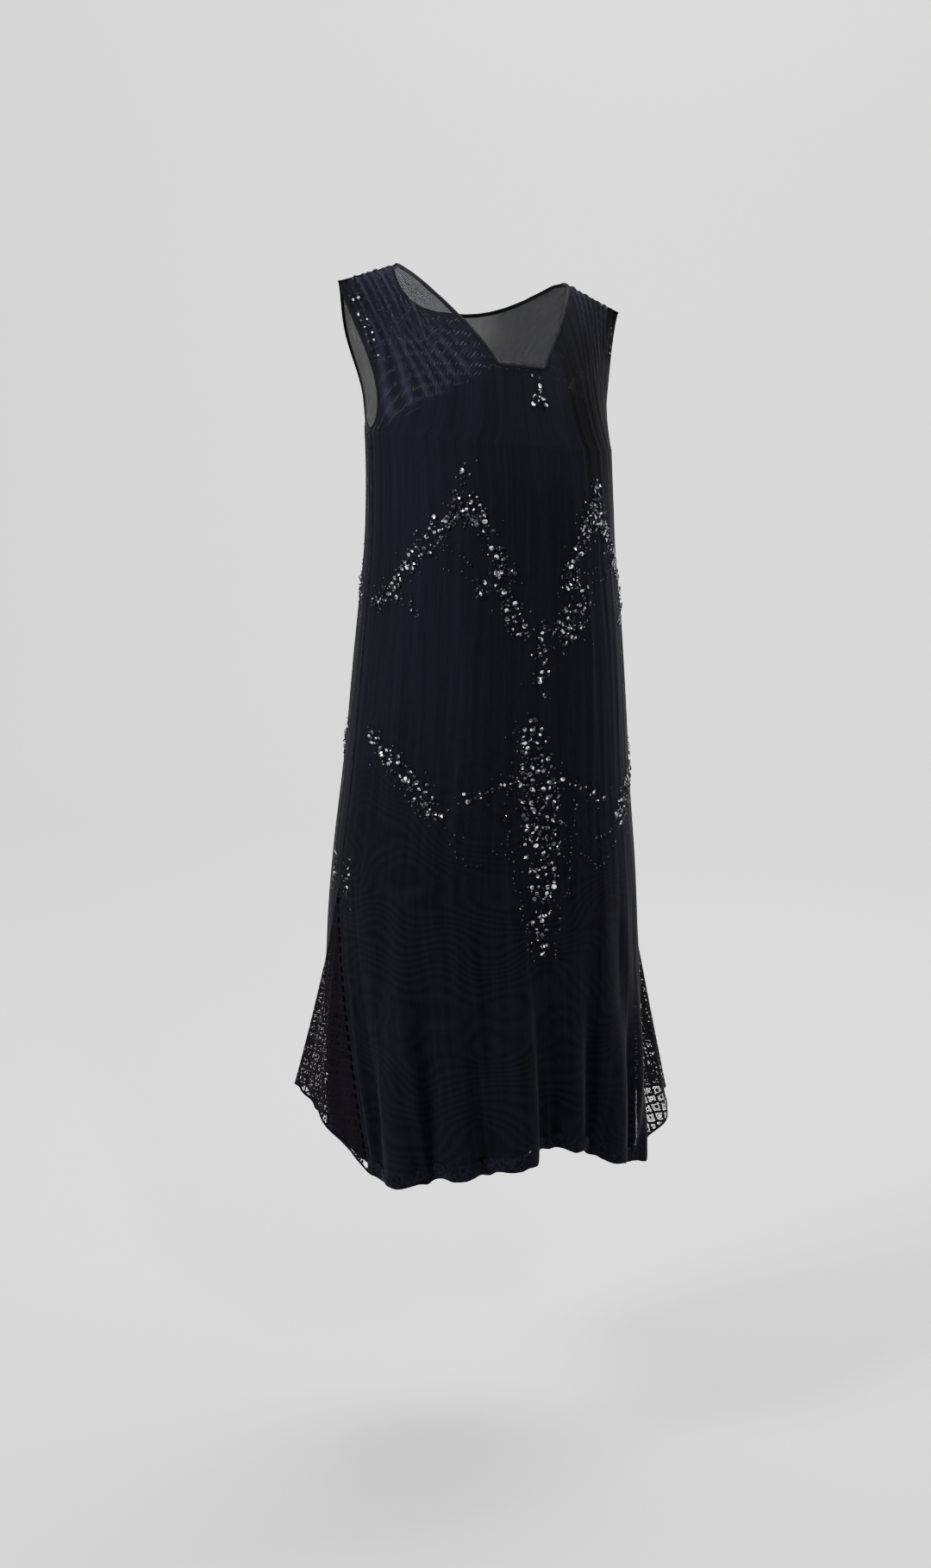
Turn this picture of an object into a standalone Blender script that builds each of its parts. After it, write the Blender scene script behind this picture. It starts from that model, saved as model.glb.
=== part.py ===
"""A sleeveless cocktail dress of dark net over an opaque slip, hollow, as it hangs when worn.

Metres, +Z up. The front faces -Y and the wearer's left is +X. The origin is where the shoulders hold
the dress: on the line of the shoulder seams, midway between them.
"""

import math

import bpy
from mathutils import Vector

# Cloth
NET_WALL = 0.0012
SLIP_WALL = 0.0012
BINDING_WALL = 0.0022
BINDING_PROUD = 0.0005
LAYER_GAP = 0.0030
SEAM = 0.0006
BINDING_SEAM = 0.0014
SLIP_FOLD_SHARE = 0.55

# Heights, measured from the shoulders
ARMHOLE_BOTTOM = -0.180
NET_HEM = -1.075
SLIP_HEM = -1.066
SLIP_TOP = -0.094
SLIP_SIDE_DROP = 0.100
SLIP_TOP_FLAT = 0.2
SLIP_TOP_CURVE = 1.1

# Neckline, straps and armholes
NECK_HALF_WIDTH = 0.111
NECK_HEIGHT = 0.014
FRONT_NECK_HEIGHT = -0.088
FRONT_NECK_HALF_FLAT = 0.031
FRONT_NECK_CURVE = 0.85
BACK_NECK_DROP = 0.050
BACK_NECK_CURVE = 2.5
SHOULDER_HALF_WIDTH = 0.190
SHOULDER_SLOPE = 0.36
FRONT_SHOULDER_ROUNDNESS = 2.0
BACK_SHOULDER_ROUNDNESS = 2.3
ARMHOLE_FRONT_TURN = 10.0
ARMHOLE_BACK_TURN = 32.0
ARMHOLE_INWARD = 0.010
ARMHOLE_FOOT_DROP = 0.014
ARMHOLE_FOOT_START = 0.75
ARMHOLE_FULLNESS = 0.72
CENTRE_SHIFT_CURVE = 1.5
NECK_BINDING = 0.005
ARMHOLE_BINDING = 0.005

# The wearer's right shoulder is the higher one, and the whole dress hangs from it.
TILT = 0.115

# The columns of a panel that meet the neckline's corners, as shares of the panel's half width
CORNER_COLUMN = 0.20
NECK_COLUMN = 0.62

# Body sections: height, half width, front and back depth from the section's centre, and the centre's y
SECTIONS = (
    (-0.180, 0.158, 0.117, 0.110, -0.018),
    (-0.240, 0.158, 0.124, 0.112, -0.021),
    (-0.325, 0.162, 0.122, 0.115, -0.025),
    (-0.410, 0.171, 0.126, 0.124, -0.026),
    (-0.500, 0.179, 0.131, 0.138, -0.024),
    (-0.600, 0.188, 0.136, 0.148, -0.020),
    (-0.720, 0.201, 0.142, 0.156, -0.015),
    (-0.860, 0.208, 0.150, 0.163, -0.010),
    (-1.100, 0.213, 0.160, 0.172, -0.008),
)

# Godets: side (-1 is the wearer's right), half turn and lean at the hem, flare, rise of the tip, and how
# late the flare comes, as a power of the share of the way down
GODETS = {
    "right": {"side": -1, "half_turn": 32.0, "lean": 8.0, "flare": 0.050, "rise": 0.072, "lateness": 1.5},
    "left": {"side": 1, "half_turn": 32.0, "lean": 0.0, "flare": 0.071, "rise": 0.050, "lateness": 1.0},
}
GODET_APEX = -0.735
GODET_RIPPLES = 3
GODET_RIPPLE_DEPTH = 0.16

# Skirt folds, as ridges: turn from the front, half width, depth at the hem, height where it begins
FRONT_FOLDS = (
    (-50.0, 12.0, 0.012, -0.62),
    (-30.0, 11.0, 0.010, -0.70),
    (-11.0, 12.0, 0.013, -0.60),
    (10.0, 11.0, 0.007, -0.78),
    (29.0, 12.0, 0.011, -0.64),
    (46.0, 11.0, 0.009, -0.70),
)
BACK_FOLDS = (
    (137.0, 12.0, 0.011, -0.66),
    (156.0, 11.0, 0.013, -0.60),
    (175.0, 12.0, 0.010, -0.72),
    (-166.0, 11.0, 0.012, -0.62),
    (-145.0, 12.0, 0.011, -0.68),
)

# Dips of the hem, and rises where the depth is negative: turn at the middle, half width and depth
HEM_DIPS = (
    (-56.0, 32.0, 0.022),
    (4.0, 36.0, -0.030),
    (60.0, 26.0, 0.006),
    (140.0, 30.0, 0.012),
    (-162.0, 40.0, 0.010),
)

FRONT, BACK = 1, -1
UPPER_ROWS = 11
UPPER_ROW_GROWTH = 1.25
BODY_ROWS = 6
BODY_ROW_GROWTH = 1.4
GODET_ROWS = 6
SLIP_ROWS = 14
SLIP_ROW_GROWTH = 1.25
GODET_FIRST_ROW = 0.3
GODET_COLUMNS = 10
SHARP_EDGE = 50.0
MITRE_LIMIT = 0.85

# Columns of half a panel, as shares of its half width, from the centre to the side seam
HALF_COLUMNS = (0.10, CORNER_COLUMN, 0.27, 0.34, 0.41, 0.48, 0.55, NECK_COLUMN, 0.69, 0.76, 0.83, 0.90, 1.0)

NET = (0.010, 0.011, 0.016)
SLIP = (0.007, 0.008, 0.012)
BINDING = (0.008, 0.009, 0.013)


def clear_scene():
    for thing in list(bpy.data.objects):
        bpy.data.objects.remove(thing, do_unlink=True)


def smooth(t):
    t = min(1.0, max(0.0, t))
    return t * t * (3 - 2 * t)


def bump(away):
    """1 in the middle of a rounded ridge and 0 from its foot on, at a distance in half widths."""
    return (1 + math.cos(math.pi * away)) / 2 if abs(away) < 1 else 0.0


def turn_between(turn, centre):
    return (turn - centre + 180.0) % 360.0 - 180.0


def section(height):
    """(half width, front depth, back depth, centre y) at a height, on a smooth curve through the table."""
    rows = SECTIONS
    last = len(rows) - 1
    i = 0
    while i < last - 1 and height < rows[i + 1][0]:
        i += 1
    before, start, end, after = rows[max(i - 1, 0)], rows[i], rows[i + 1], rows[min(i + 2, last)]
    t = (height - start[0]) / (end[0] - start[0])
    values = []
    for column in range(1, 5):
        slope_in = (end[column] - before[column]) / (end[0] - before[0]) * (end[0] - start[0])
        slope_out = (after[column] - start[column]) / (after[0] - start[0]) * (end[0] - start[0])
        a = 2 * start[column] - 2 * end[column] + slope_in + slope_out
        b = 3 * end[column] - 3 * start[column] - 2 * slope_in - slope_out
        values.append(((a * t + b) * t + slope_in) * t + start[column])
    return values


def ring_point(turn, height):
    """A point of the smooth form below the armholes. Turn is in degrees, 0 at the front, 90 at the left."""
    half_width, front, back, centre_y = section(height)
    angle = math.radians(turn)
    depth = front if math.cos(angle) > 0 else back
    return Vector((half_width * math.sin(angle), centre_y - depth * math.cos(angle), height))


def shoulder_height(x):
    return NECK_HEIGHT - SHOULDER_SLOPE * (abs(x) - NECK_HALF_WIDTH)


def top_edge(side, across):
    """(x, height) of the finished top edge at a column: the neckline, then the shoulder seam."""
    share, sign = abs(across), math.copysign(1.0, across)
    if share > NECK_COLUMN:
        t = (share - NECK_COLUMN) / (1 - NECK_COLUMN)
        x = NECK_HALF_WIDTH + t * (SHOULDER_HALF_WIDTH - NECK_HALF_WIDTH)
        return sign * x, shoulder_height(x)
    if side == BACK:
        t = share / NECK_COLUMN
        return sign * NECK_HALF_WIDTH * t, NECK_HEIGHT - BACK_NECK_DROP * (1 - t**BACK_NECK_CURVE)
    if share < CORNER_COLUMN:
        return sign * FRONT_NECK_HALF_FLAT * share / CORNER_COLUMN, FRONT_NECK_HEIGHT
    t = (share - CORNER_COLUMN) / (NECK_COLUMN - CORNER_COLUMN)
    x = FRONT_NECK_HALF_FLAT + t * (NECK_HALF_WIDTH - FRONT_NECK_HALF_FLAT)
    return sign * x, FRONT_NECK_HEIGHT + (NECK_HEIGHT - FRONT_NECK_HEIGHT) * t**FRONT_NECK_CURVE


def upper_point(side, across, height):
    """A point of the smooth form above the bottom of the armholes, on the front or the back."""
    top_x, top_height = top_edge(side, across)
    rise = min(1.0, (height - ARMHOLE_BOTTOM) / (top_height - ARMHOLE_BOTTOM))
    cut = math.sin(math.pi * rise**ARMHOLE_FULLNESS)
    if side == FRONT:
        turn, roundness = across * (90.0 - ARMHOLE_FRONT_TURN * cut), FRONT_SHOULDER_ROUNDNESS
    else:
        turn, roundness = 180.0 - across * (90.0 - ARMHOLE_BACK_TURN * cut), BACK_SHOULDER_ROUNDNESS
    base = ring_point(turn, ARMHOLE_BOTTOM)
    x = base.x + (top_x - base.x) * rise - ARMHOLE_INWARD * cut * across**3
    climb = min(1.0, (height - ARMHOLE_BOTTOM) / (shoulder_height(x) - ARMHOLE_BOTTOM))
    centre_y = section(ARMHOLE_BOTTOM)[3]
    y = centre_y * (1 - rise) ** CENTRE_SHIFT_CURVE + (base.y - centre_y) * (1 - climb**roundness) ** (1 / roundness)
    return Vector((x, y, height))


def godet_share(height):
    """0 at the godets' apexes and 1 at the hem."""
    return min(1.0, max(0.0, (GODET_APEX - height) / (GODET_APEX - NET_HEM)))


def godet_turns(godet, height):
    """(middle, half) turn of the slot that a godet fills at a height, on the wearer's left."""
    share = godet_share(height)
    return 90.0 + godet["lean"] * share, godet["half_turn"] * share


def panel_turn(side, across, height, godets):
    """The turn of a panel's column at a height. A panel ends at the side seam, or at the godet's edge."""
    godet = GODETS["left" if across > 0 else "right"]
    middle, half = godet_turns(godet, height) if godets else (90.0, 0.0)
    seam = math.degrees(SEAM / 2 / section(height)[0])
    if side == FRONT:
        return across * (middle - half - seam)
    return 180.0 - across * (180.0 - middle - half - seam)


def fold_ridge(folds, turn, height):
    """How far the folds lift the skirt off the smooth form."""
    out = 0.0
    for centre, half_width, depth, start in folds:
        grown = smooth((start - height) / (start - NET_HEM))
        out += depth * grown * bump(turn_between(turn, centre) / half_width)
    return out


def hem_drop(turn):
    dips = (depth * bump(turn_between(turn, centre) / half) for centre, half, depth in HEM_DIPS)
    return sum(dips)


def columns(side):
    """The shares of the half width at a panel's columns, in the order that makes the outside face out."""
    line = [-share for share in reversed(HALF_COLUMNS)] + [0.0] + list(HALF_COLUMNS)
    return line if side == FRONT else line[::-1]


def form_normal(turn, height):
    """The outward normal of the smooth form below the armholes."""
    small_turn, small_height = 0.5, 0.005
    along = ring_point(turn + small_turn, height) - ring_point(turn - small_turn, height)
    down = ring_point(turn, height - small_height) - ring_point(turn, height + small_height)
    return down.cross(along).normalized()


def lifted(turn, height, distance):
    return ring_point(turn, height) + form_normal(turn, height) * distance


def grid_normals(rows):
    """The outward normal at each point of a grid whose rows go down."""
    normals = []
    for i, row in enumerate(rows):
        above, below = rows[max(i - 1, 0)], rows[min(i + 1, len(rows) - 1)]
        line = []
        for j in range(len(row)):
            along = row[min(j + 1, len(row) - 1)] - row[max(j - 1, 0)]
            line.append((below[j] - above[j]).cross(along).normalized())
        normals.append(line)
    return normals


def inset_loop(points, normals, width):
    """A closed line moved sideways within the cloth by a width, with mitred corners."""
    count = len(points)
    line = []
    for i, p in enumerate(points):
        before = (p - points[i - 1]).normalized()
        after = (points[(i + 1) % count] - p).normalized()
        sideways = (before + after).cross(normals[i]).normalized()
        square = after.cross(normals[i]).normalized()
        line.append(p + sideways * width / max(MITRE_LIMIT, sideways.dot(square)))
    return line


def upper_rows(side):
    """A net panel's rows from the finished top edge down to the bottom of the armholes."""
    rows = []
    for k in range(UPPER_ROWS, -1, -1):
        row = []
        for across in columns(side):
            top_x, top_height = top_edge(side, across)
            full = shoulder_height(top_x) - ARMHOLE_BOTTOM
            top_angle = math.asin(min(1.0, (top_height - ARMHOLE_BOTTOM) / full))
            angle = top_angle * (k / UPPER_ROWS) ** UPPER_ROW_GROWTH
            if k == 0 and abs(across) < 1:
                near_armhole = (abs(across) - ARMHOLE_FOOT_START) / (1 - ARMHOLE_FOOT_START)
                drop = ARMHOLE_FOOT_DROP * smooth(near_armhole)
                row.append(ring_point(panel_turn(side, across, ARMHOLE_BOTTOM, False), ARMHOLE_BOTTOM - drop))
            else:
                row.append(upper_point(side, across, ARMHOLE_BOTTOM + full * math.sin(angle)))
        rows.append(row)
    return rows


def lower_rows(side):
    """(rows, normals) of a net panel below the armholes, with the skirt's folds."""
    folds = FRONT_FOLDS if side == FRONT else BACK_FOLDS
    rows, edge_normals = [], []
    for k in range(1, BODY_ROWS + GODET_ROWS + 1):
        row, normals = [], []
        for across in columns(side):
            if k <= BODY_ROWS:
                height = ARMHOLE_BOTTOM + (GODET_APEX - ARMHOLE_BOTTOM) * (k / BODY_ROWS) ** BODY_ROW_GROWTH
            else:
                bottom = NET_HEM - hem_drop(panel_turn(side, across, NET_HEM, True))
                height = GODET_APEX + (bottom - GODET_APEX) * (k - BODY_ROWS) / GODET_ROWS
            turn = panel_turn(side, across, height, True)
            row.append(lifted(turn, height, fold_ridge(folds, turn, height)))
            normals.append(form_normal(turn, height))
        rows.append(row)
        edge_normals.append(normals)
    return rows, edge_normals


def on_column(rows, normals, j, height):
    """(point, normal) at a height on a column of the upper rows."""
    i = next(i for i in range(1, len(rows)) if rows[i][j].z <= height)
    above, below = rows[i - 1][j], rows[i][j]
    t = (above.z - height) / (above.z - below.z)
    return above.lerp(below, t), normals[i - 1][j].lerp(normals[i][j], t).normalized()


def slip_rows(side, upper, upper_normals):
    """A slip panel's rows inside the net, from a bib in front or a straight top behind, to its hem."""
    folds = FRONT_FOLDS if side == FRONT else BACK_FOLDS
    inside = NET_WALL + LAYER_GAP
    rows = []
    for k in range(SLIP_ROWS + 1):
        row = []
        for j, across in enumerate(columns(side)):
            beside = max(0.0, abs(across) - SLIP_TOP_FLAT) / (1 - SLIP_TOP_FLAT) if side == FRONT else 1.0
            top = SLIP_TOP - SLIP_SIDE_DROP * beside**SLIP_TOP_CURVE
            bottom = SLIP_HEM - hem_drop(panel_turn(side, across, SLIP_HEM, False))
            height = top + (bottom - top) * (k / SLIP_ROWS) ** SLIP_ROW_GROWTH
            if height > ARMHOLE_BOTTOM:
                point, normal = on_column(upper, upper_normals, j, height)
                row.append(point - normal * inside)
            else:
                turn = panel_turn(side, across, height, False)
                row.append(lifted(turn, height, SLIP_FOLD_SHARE * fold_ridge(folds, turn, height) - inside))
        rows.append(row)
    return rows


def slip_normals(side, rows):
    """The slip's normals, which lie across its side seams at the edges."""
    normals = grid_normals(rows)
    for row, line in zip(rows, normals):
        for j, across in ((0, columns(side)[0]), (-1, columns(side)[-1])):
            line[j] = form_normal(panel_turn(side, across, row[j].z, False), row[j].z)
    return normals


def godet_rows(godet):
    """(rows, normals) of a godet down to its hem, bellied out, rippled and risen in the middle."""
    side = godet["side"]
    rows, edge_normals = [], []
    for k in range(GODET_ROWS + 1):
        row, normals = [], []
        for c in range(GODET_COLUMNS + 1):
            t = 2 * c / GODET_COLUMNS - 1
            edge_drop = hem_drop(side * (90.0 + godet["lean"] + t * godet["half_turn"]))
            bottom = NET_HEM - edge_drop * t * t + godet["rise"] * bump(t)
            height = GODET_APEX + (bottom - GODET_APEX) * (k if k > 0 else GODET_FIRST_ROW) / GODET_ROWS
            middle, half = godet_turns(godet, height)
            ripple = 1 + GODET_RIPPLE_DEPTH * math.sin(math.pi * GODET_RIPPLES * t)
            belly = godet["flare"] * godet_share(height) ** godet["lateness"] * bump(t) * ripple
            turn = side * (middle + t * (half - math.degrees(SEAM / 2 / section(height)[0])))
            row.append(lifted(turn, height, belly))
            normals.append(form_normal(turn, height))
        rows.append(row[::side])
        edge_normals.append(normals[::side])
    return rows, with_edges(grid_normals(rows), edge_normals, range(len(rows)))


def with_edges(normals, edge_normals, row_numbers):
    """The normals, with those of the first and last column taken from others that the next piece shares."""
    for i, line in zip(row_numbers, edge_normals):
        for j in (0, -1):
            normals[i][j] = line[j]
    return normals


def edge_places():
    """The finished edges as closed loops of (side, row, column): the neckline and the two armholes."""
    last = 2 * len(HALF_COLUMNS)
    neck = [j for j, across in enumerate(columns(FRONT)) if abs(across) <= NECK_COLUMN]
    down, up = range(0, UPPER_ROWS + 1), range(UPPER_ROWS - 1, 0, -1)
    return {
        "neck": [(FRONT, 0, j) for j in neck] + [(BACK, 0, j) for j in neck[1:-1]],
        "armhole_right": [(FRONT, i, 0) for i in reversed(down)] + [(BACK, i, last) for i in reversed(up)],
        "armhole_left": [(FRONT, i, last) for i in down] + [(BACK, i, 0) for i in up],
    }


def share_seams(front, back, opening):
    """Joins both panels' values on the shoulder seams and at the armholes' feet, then opens them."""
    last = 2 * len(HALF_COLUMNS)
    shared = [(0, j) for j, across in enumerate(columns(FRONT)) if abs(across) >= NECK_COLUMN]
    for i, j in shared + [(UPPER_ROWS, 0), (UPPER_ROWS, last)]:
        seam = front[i][j] if opening else (front[i][j] + back[i][last - j]).normalized()
        front[i][j] = seam - Vector((0.0, opening / 2, 0.0))
        back[i][last - j] = seam + Vector((0.0, opening / 2, 0.0))


def hung(point):
    """The point with the dress hanging from its higher shoulder."""
    return Vector((point.x, point.y, point.z - TILT * point.x))


def material(name, colour, roughness):
    made = bpy.data.materials.new(name)
    made.use_nodes = True
    shader = made.node_tree.nodes["Principled BSDF"]
    shader.inputs["Base Color"].default_value = (*colour, 1.0)
    shader.inputs["Roughness"].default_value = roughness
    made.diffuse_color = (*colour, 1.0)
    return made


def cloth(name, rows, normals, wall, finish, closed=False):
    """One closed wall of cloth whose outer face is the grid. A closed grid's last column meets its first."""
    width = len(rows[0])
    count = width * len(rows)
    outer = [hung(p) for row in rows for p in row]
    inner = [hung(p - n * wall) for row, line in zip(rows, normals) for p, n in zip(row, line)]
    mesh = bpy.data.meshes.new(name)
    faces = []
    for i in range(len(rows) - 1):
        for j in range(width if closed else width - 1):
            a, b = i * width + j, i * width + (j + 1) % width
            faces.append((a, a + width, b + width, b))
            faces.append((count + b, count + b + width, count + a + width, count + a))
    rim = [(j, (j + 1) % width) for j in range(width if closed else width - 1)]
    foot = count - width
    edges = [(b, a) for a, b in rim]
    edges += [(foot + a, foot + b) for a, b in rim]
    if not closed:
        edges += [(i * width, (i + 1) * width) for i in range(len(rows) - 1)]
        edges += [((i + 2) * width - 1, (i + 1) * width - 1) for i in range(len(rows) - 1)]
    faces += [(b, a, count + a, count + b) for a, b in edges]
    mesh.from_pydata([tuple(p) for p in outer + inner], [], faces)
    mesh.materials.append(finish)
    mesh.shade_smooth()
    mesh.set_sharp_from_angle(angle=math.radians(SHARP_EDGE))
    piece = bpy.data.objects.new(name, mesh)
    bpy.context.scene.collection.objects.link(piece)


def build():
    clear_scene()
    net = material("net", NET, 0.85)
    slip = material("slip", SLIP, 0.55)
    binding = material("binding", BINDING, 0.60)

    panels = {side: upper_rows(side) for side in (FRONT, BACK)}
    normals = {side: grid_normals(rows) for side, rows in panels.items()}
    share_seams(normals[FRONT], normals[BACK], 0.0)
    slips = {side: slip_rows(side, panels[side], normals[side]) for side in panels}
    for name, places in edge_places().items():
        points = [panels[side][i][j] for side, i, j in places]
        outward = [normals[side][i][j] for side, i, j in places]
        width = NECK_BINDING if name == "neck" else ARMHOLE_BINDING
        proud = [p + n * BINDING_PROUD for p, n in zip(points, outward)]
        strip = [proud, inset_loop(proud, outward, width)]
        cloth(f"{name}_binding", strip, [outward, outward], BINDING_WALL, binding, closed=True)
        for (side, i, j), p in zip(places, inset_loop(points, outward, width + BINDING_SEAM)):
            panels[side][i][j] = p
    share_seams(panels[FRONT], panels[BACK], SEAM)
    for side, name in ((FRONT, "front"), (BACK, "back")):
        lower, lower_edges = lower_rows(side)
        rows = panels[side] + lower
        wall_normals = with_edges(grid_normals(rows), normals[side] + lower_edges, range(len(rows)))
        wall_normals[0] = normals[side][0]
        cloth(f"net_{name}", rows, wall_normals, NET_WALL, net)
        cloth(f"slip_{name}", slips[side], slip_normals(side, slips[side]), SLIP_WALL, slip)
    for name, godet in GODETS.items():
        rows, wall_normals = godet_rows(godet)
        cloth(f"godet_{name}", rows, wall_normals, NET_WALL, net)


build()
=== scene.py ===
# %% [markdown]
# # A sequinned net dress over a slip
#
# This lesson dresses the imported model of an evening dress: two layers of thin cloth that hang from the
# shoulders, sheer flared godets at the sides, narrow bindings, and bands of sequins and beads. The packed
# model gives the true size and place. Here every wall of it is replaced by a thin, finely creased sheet.

import math

import bpy
import numpy as np
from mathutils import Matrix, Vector


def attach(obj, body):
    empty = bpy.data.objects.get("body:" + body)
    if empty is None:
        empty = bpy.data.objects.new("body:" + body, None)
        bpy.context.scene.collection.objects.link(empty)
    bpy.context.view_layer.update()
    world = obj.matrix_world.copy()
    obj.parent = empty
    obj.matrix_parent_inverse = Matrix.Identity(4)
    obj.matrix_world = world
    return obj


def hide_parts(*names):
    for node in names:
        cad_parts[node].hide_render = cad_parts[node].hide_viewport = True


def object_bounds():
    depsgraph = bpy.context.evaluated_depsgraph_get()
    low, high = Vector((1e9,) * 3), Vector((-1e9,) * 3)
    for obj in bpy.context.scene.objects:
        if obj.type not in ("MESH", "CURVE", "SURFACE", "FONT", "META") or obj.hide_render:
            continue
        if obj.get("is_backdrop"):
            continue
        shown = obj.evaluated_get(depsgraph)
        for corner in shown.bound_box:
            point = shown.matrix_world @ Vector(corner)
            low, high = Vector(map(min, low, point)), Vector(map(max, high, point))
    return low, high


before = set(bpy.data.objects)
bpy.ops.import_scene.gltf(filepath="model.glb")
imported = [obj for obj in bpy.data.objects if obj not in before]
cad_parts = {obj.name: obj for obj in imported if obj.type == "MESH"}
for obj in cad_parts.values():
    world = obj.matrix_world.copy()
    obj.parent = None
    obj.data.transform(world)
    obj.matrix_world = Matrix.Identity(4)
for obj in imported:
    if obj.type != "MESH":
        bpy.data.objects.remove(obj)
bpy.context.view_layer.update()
SEED = 7
rng = np.random.default_rng(SEED)

# %% [markdown]
# ## The form
#
# A worn dress is a tube of changing oval section, closed over the shoulders. Its form is a formula of two
# numbers: how far round (a turn in degrees, 0 at the front and 90 at the wearer's left) and how high. The
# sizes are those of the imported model. Working it out with numpy arrays makes a grid as fine as we like.

# %% Sizes of the dress, in metres
LAYER_GAP = 0.0042
SLIP_FOLD_SHARE = 0.55
ARMHOLE_BOTTOM = -0.180
NET_HEM = -1.075
SLIP_HEM = -1.066
SLIP_TOP = -0.094
SLIP_SIDE_DROP = 0.100
SLIP_TOP_FLAT = 0.2
SLIP_TOP_CURVE = 1.1
NECK_HALF_WIDTH = 0.111
NECK_HEIGHT = 0.014
FRONT_NECK_HEIGHT = -0.088
FRONT_NECK_HALF_FLAT = 0.031
FRONT_NECK_CURVE = 0.85
BACK_NECK_DROP = 0.050
BACK_NECK_CURVE = 2.5
SHOULDER_HALF_WIDTH = 0.190
SHOULDER_SLOPE = 0.36
SHOULDER_ROUNDNESS = {"front": 2.0, "back": 2.3}
ARMHOLE_TURN = {"front": 10.0, "back": 32.0}
ARMHOLE_INWARD = 0.010
ARMHOLE_FULLNESS = 0.72
TILT = 0.115
CORNER_COLUMN = 0.20
NECK_COLUMN = 0.62
GODET_APEX = -0.735
GODET_RIPPLES = 3
GODET_RIPPLE_DEPTH = 0.16
print(f"net {NECK_HEIGHT - NET_HEM:.3f} m long, slip {SLIP_TOP - SLIP_HEM:.3f} m long")

# %% Sections of the body
# Height, half width, front depth, back depth, centre's y
SECTIONS = (
    (-0.180, 0.158, 0.117, 0.110, -0.018),
    (-0.240, 0.158, 0.124, 0.112, -0.021),
    (-0.325, 0.162, 0.122, 0.115, -0.025),
    (-0.410, 0.171, 0.126, 0.124, -0.026),
    (-0.500, 0.179, 0.131, 0.138, -0.024),
    (-0.600, 0.188, 0.136, 0.148, -0.020),
    (-0.720, 0.201, 0.142, 0.156, -0.015),
    (-0.860, 0.208, 0.150, 0.163, -0.010),
    (-1.100, 0.213, 0.160, 0.172, -0.008),
)
print(len(SECTIONS), "sections from", SECTIONS[0][0], "down to", SECTIONS[-1][0])

# %% Shape of the godets
GODETS = {
    "right": {"side": -1, "half_turn": 32.0, "lean": 8.0, "flare": 0.050, "rise": 0.072, "lateness": 1.5},
    "left": {"side": 1, "half_turn": 32.0, "lean": 0.0, "flare": 0.071, "rise": 0.050, "lateness": 1.0},
}
print(f"godets {GODET_APEX - NET_HEM:.3f} m tall")

# %% Folds of the skirt and dips of the hem
# Skirt folds: turn from the front, half width in degrees, depth at the hem, height where it begins
FOLDS = {
    "front": (
        (-50.0, 12.0, 0.012, -0.62),
        (-30.0, 11.0, 0.010, -0.70),
        (-11.0, 12.0, 0.013, -0.60),
        (10.0, 11.0, 0.007, -0.78),
        (29.0, 12.0, 0.011, -0.64),
        (46.0, 11.0, 0.009, -0.70),
    ),
    "back": (
        (137.0, 12.0, 0.011, -0.66),
        (156.0, 11.0, 0.013, -0.60),
        (175.0, 12.0, 0.010, -0.72),
        (-166.0, 11.0, 0.012, -0.62),
        (-145.0, 12.0, 0.011, -0.68),
    ),
}
# Dips of the hem, and rises where the depth is negative: turn, half width in degrees, depth
HEM_DIPS = (
    (-56.0, 32.0, 0.022),
    (4.0, 36.0, -0.030),
    (60.0, 26.0, 0.006),
    (140.0, 30.0, 0.012),
    (-162.0, 40.0, 0.010),
)
HEM_STEP_TURN = -4.0
HEM_STEP_TURNS = 1.6
HEM_STEP_REACH = 30.0
HEM_STEP = 0.0065
HEM_SCALLOP = 0.0014
HEM_SCALLOPS = 43
print(len(FOLDS["front"]), "folds in front,", len(FOLDS["back"]), "behind,", len(HEM_DIPS), "dips of the hem")

# %% [markdown]
# ## Sections, edges and panels as formulas
#
# The body of the dress widens toward the hem, and nothing on it changes abruptly. Blender could loft a
# surface through a few curves, but a formula also says where each crease, seam and sequin has to sit. A
# smooth curve runs through the sections above, and each edge is a short function of how far across it is.


# %% Soft steps and bumps
def smooth(t):
    """A soft step from 0 to 1."""
    t = np.clip(t, 0.0, 1.0)
    return t * t * (3 - 2 * t)


def bump(away):
    """A soft hump: 1 in the middle, and 0 from a distance of 1."""
    return np.where(np.abs(away) < 1, (1 + np.cos(np.pi * np.clip(away, -1, 1))) / 2, 0.0)


def turn_between(turn, centre):
    """The shorter way round from the centre to a turn, in degrees."""
    return (turn - centre + 180.0) % 360.0 - 180.0


print("a quarter of the way up a soft step:", smooth(0.25))
print("halfway down a hump:", float(bump(0.5)))

# %% The section curve
CURVE_STEP = 0.002


def section_curve():
    """The section table read off a smooth curve at even steps, as rising heights and their four sizes."""
    table = np.array(SECTIONS)
    heights = np.arange(table[-1, 0], table[0, 0] + CURVE_STEP / 2, CURVE_STEP)
    rows = []
    for height in heights:
        i = int(np.clip(np.searchsorted(-table[:, 0], -height, side="right") - 1, 0, len(table) - 2))
        before = table[max(i - 1, 0)]
        start = table[i]
        end = table[i + 1]
        after = table[min(i + 2, len(table) - 1)]
        span = end[0] - start[0]
        t = (height - start[0]) / span
        slope_in = (end - before)[1:] / (end[0] - before[0]) * span
        slope_out = (after - start)[1:] / (after[0] - start[0]) * span
        a = 2 * start[1:] - 2 * end[1:] + slope_in + slope_out
        b = 3 * end[1:] - 3 * start[1:] - 2 * slope_in - slope_out
        rows.append(((a * t + b) * t + slope_in) * t + start[1:])
    return heights, np.array(rows)


CURVE_HEIGHTS, CURVE_SIZES = section_curve()


def sizes_at(height):
    """[half width, front depth, back depth, centre's y] at a height."""
    return [np.interp(height, CURVE_HEIGHTS, CURVE_SIZES[:, k]) for k in range(4)]


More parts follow.
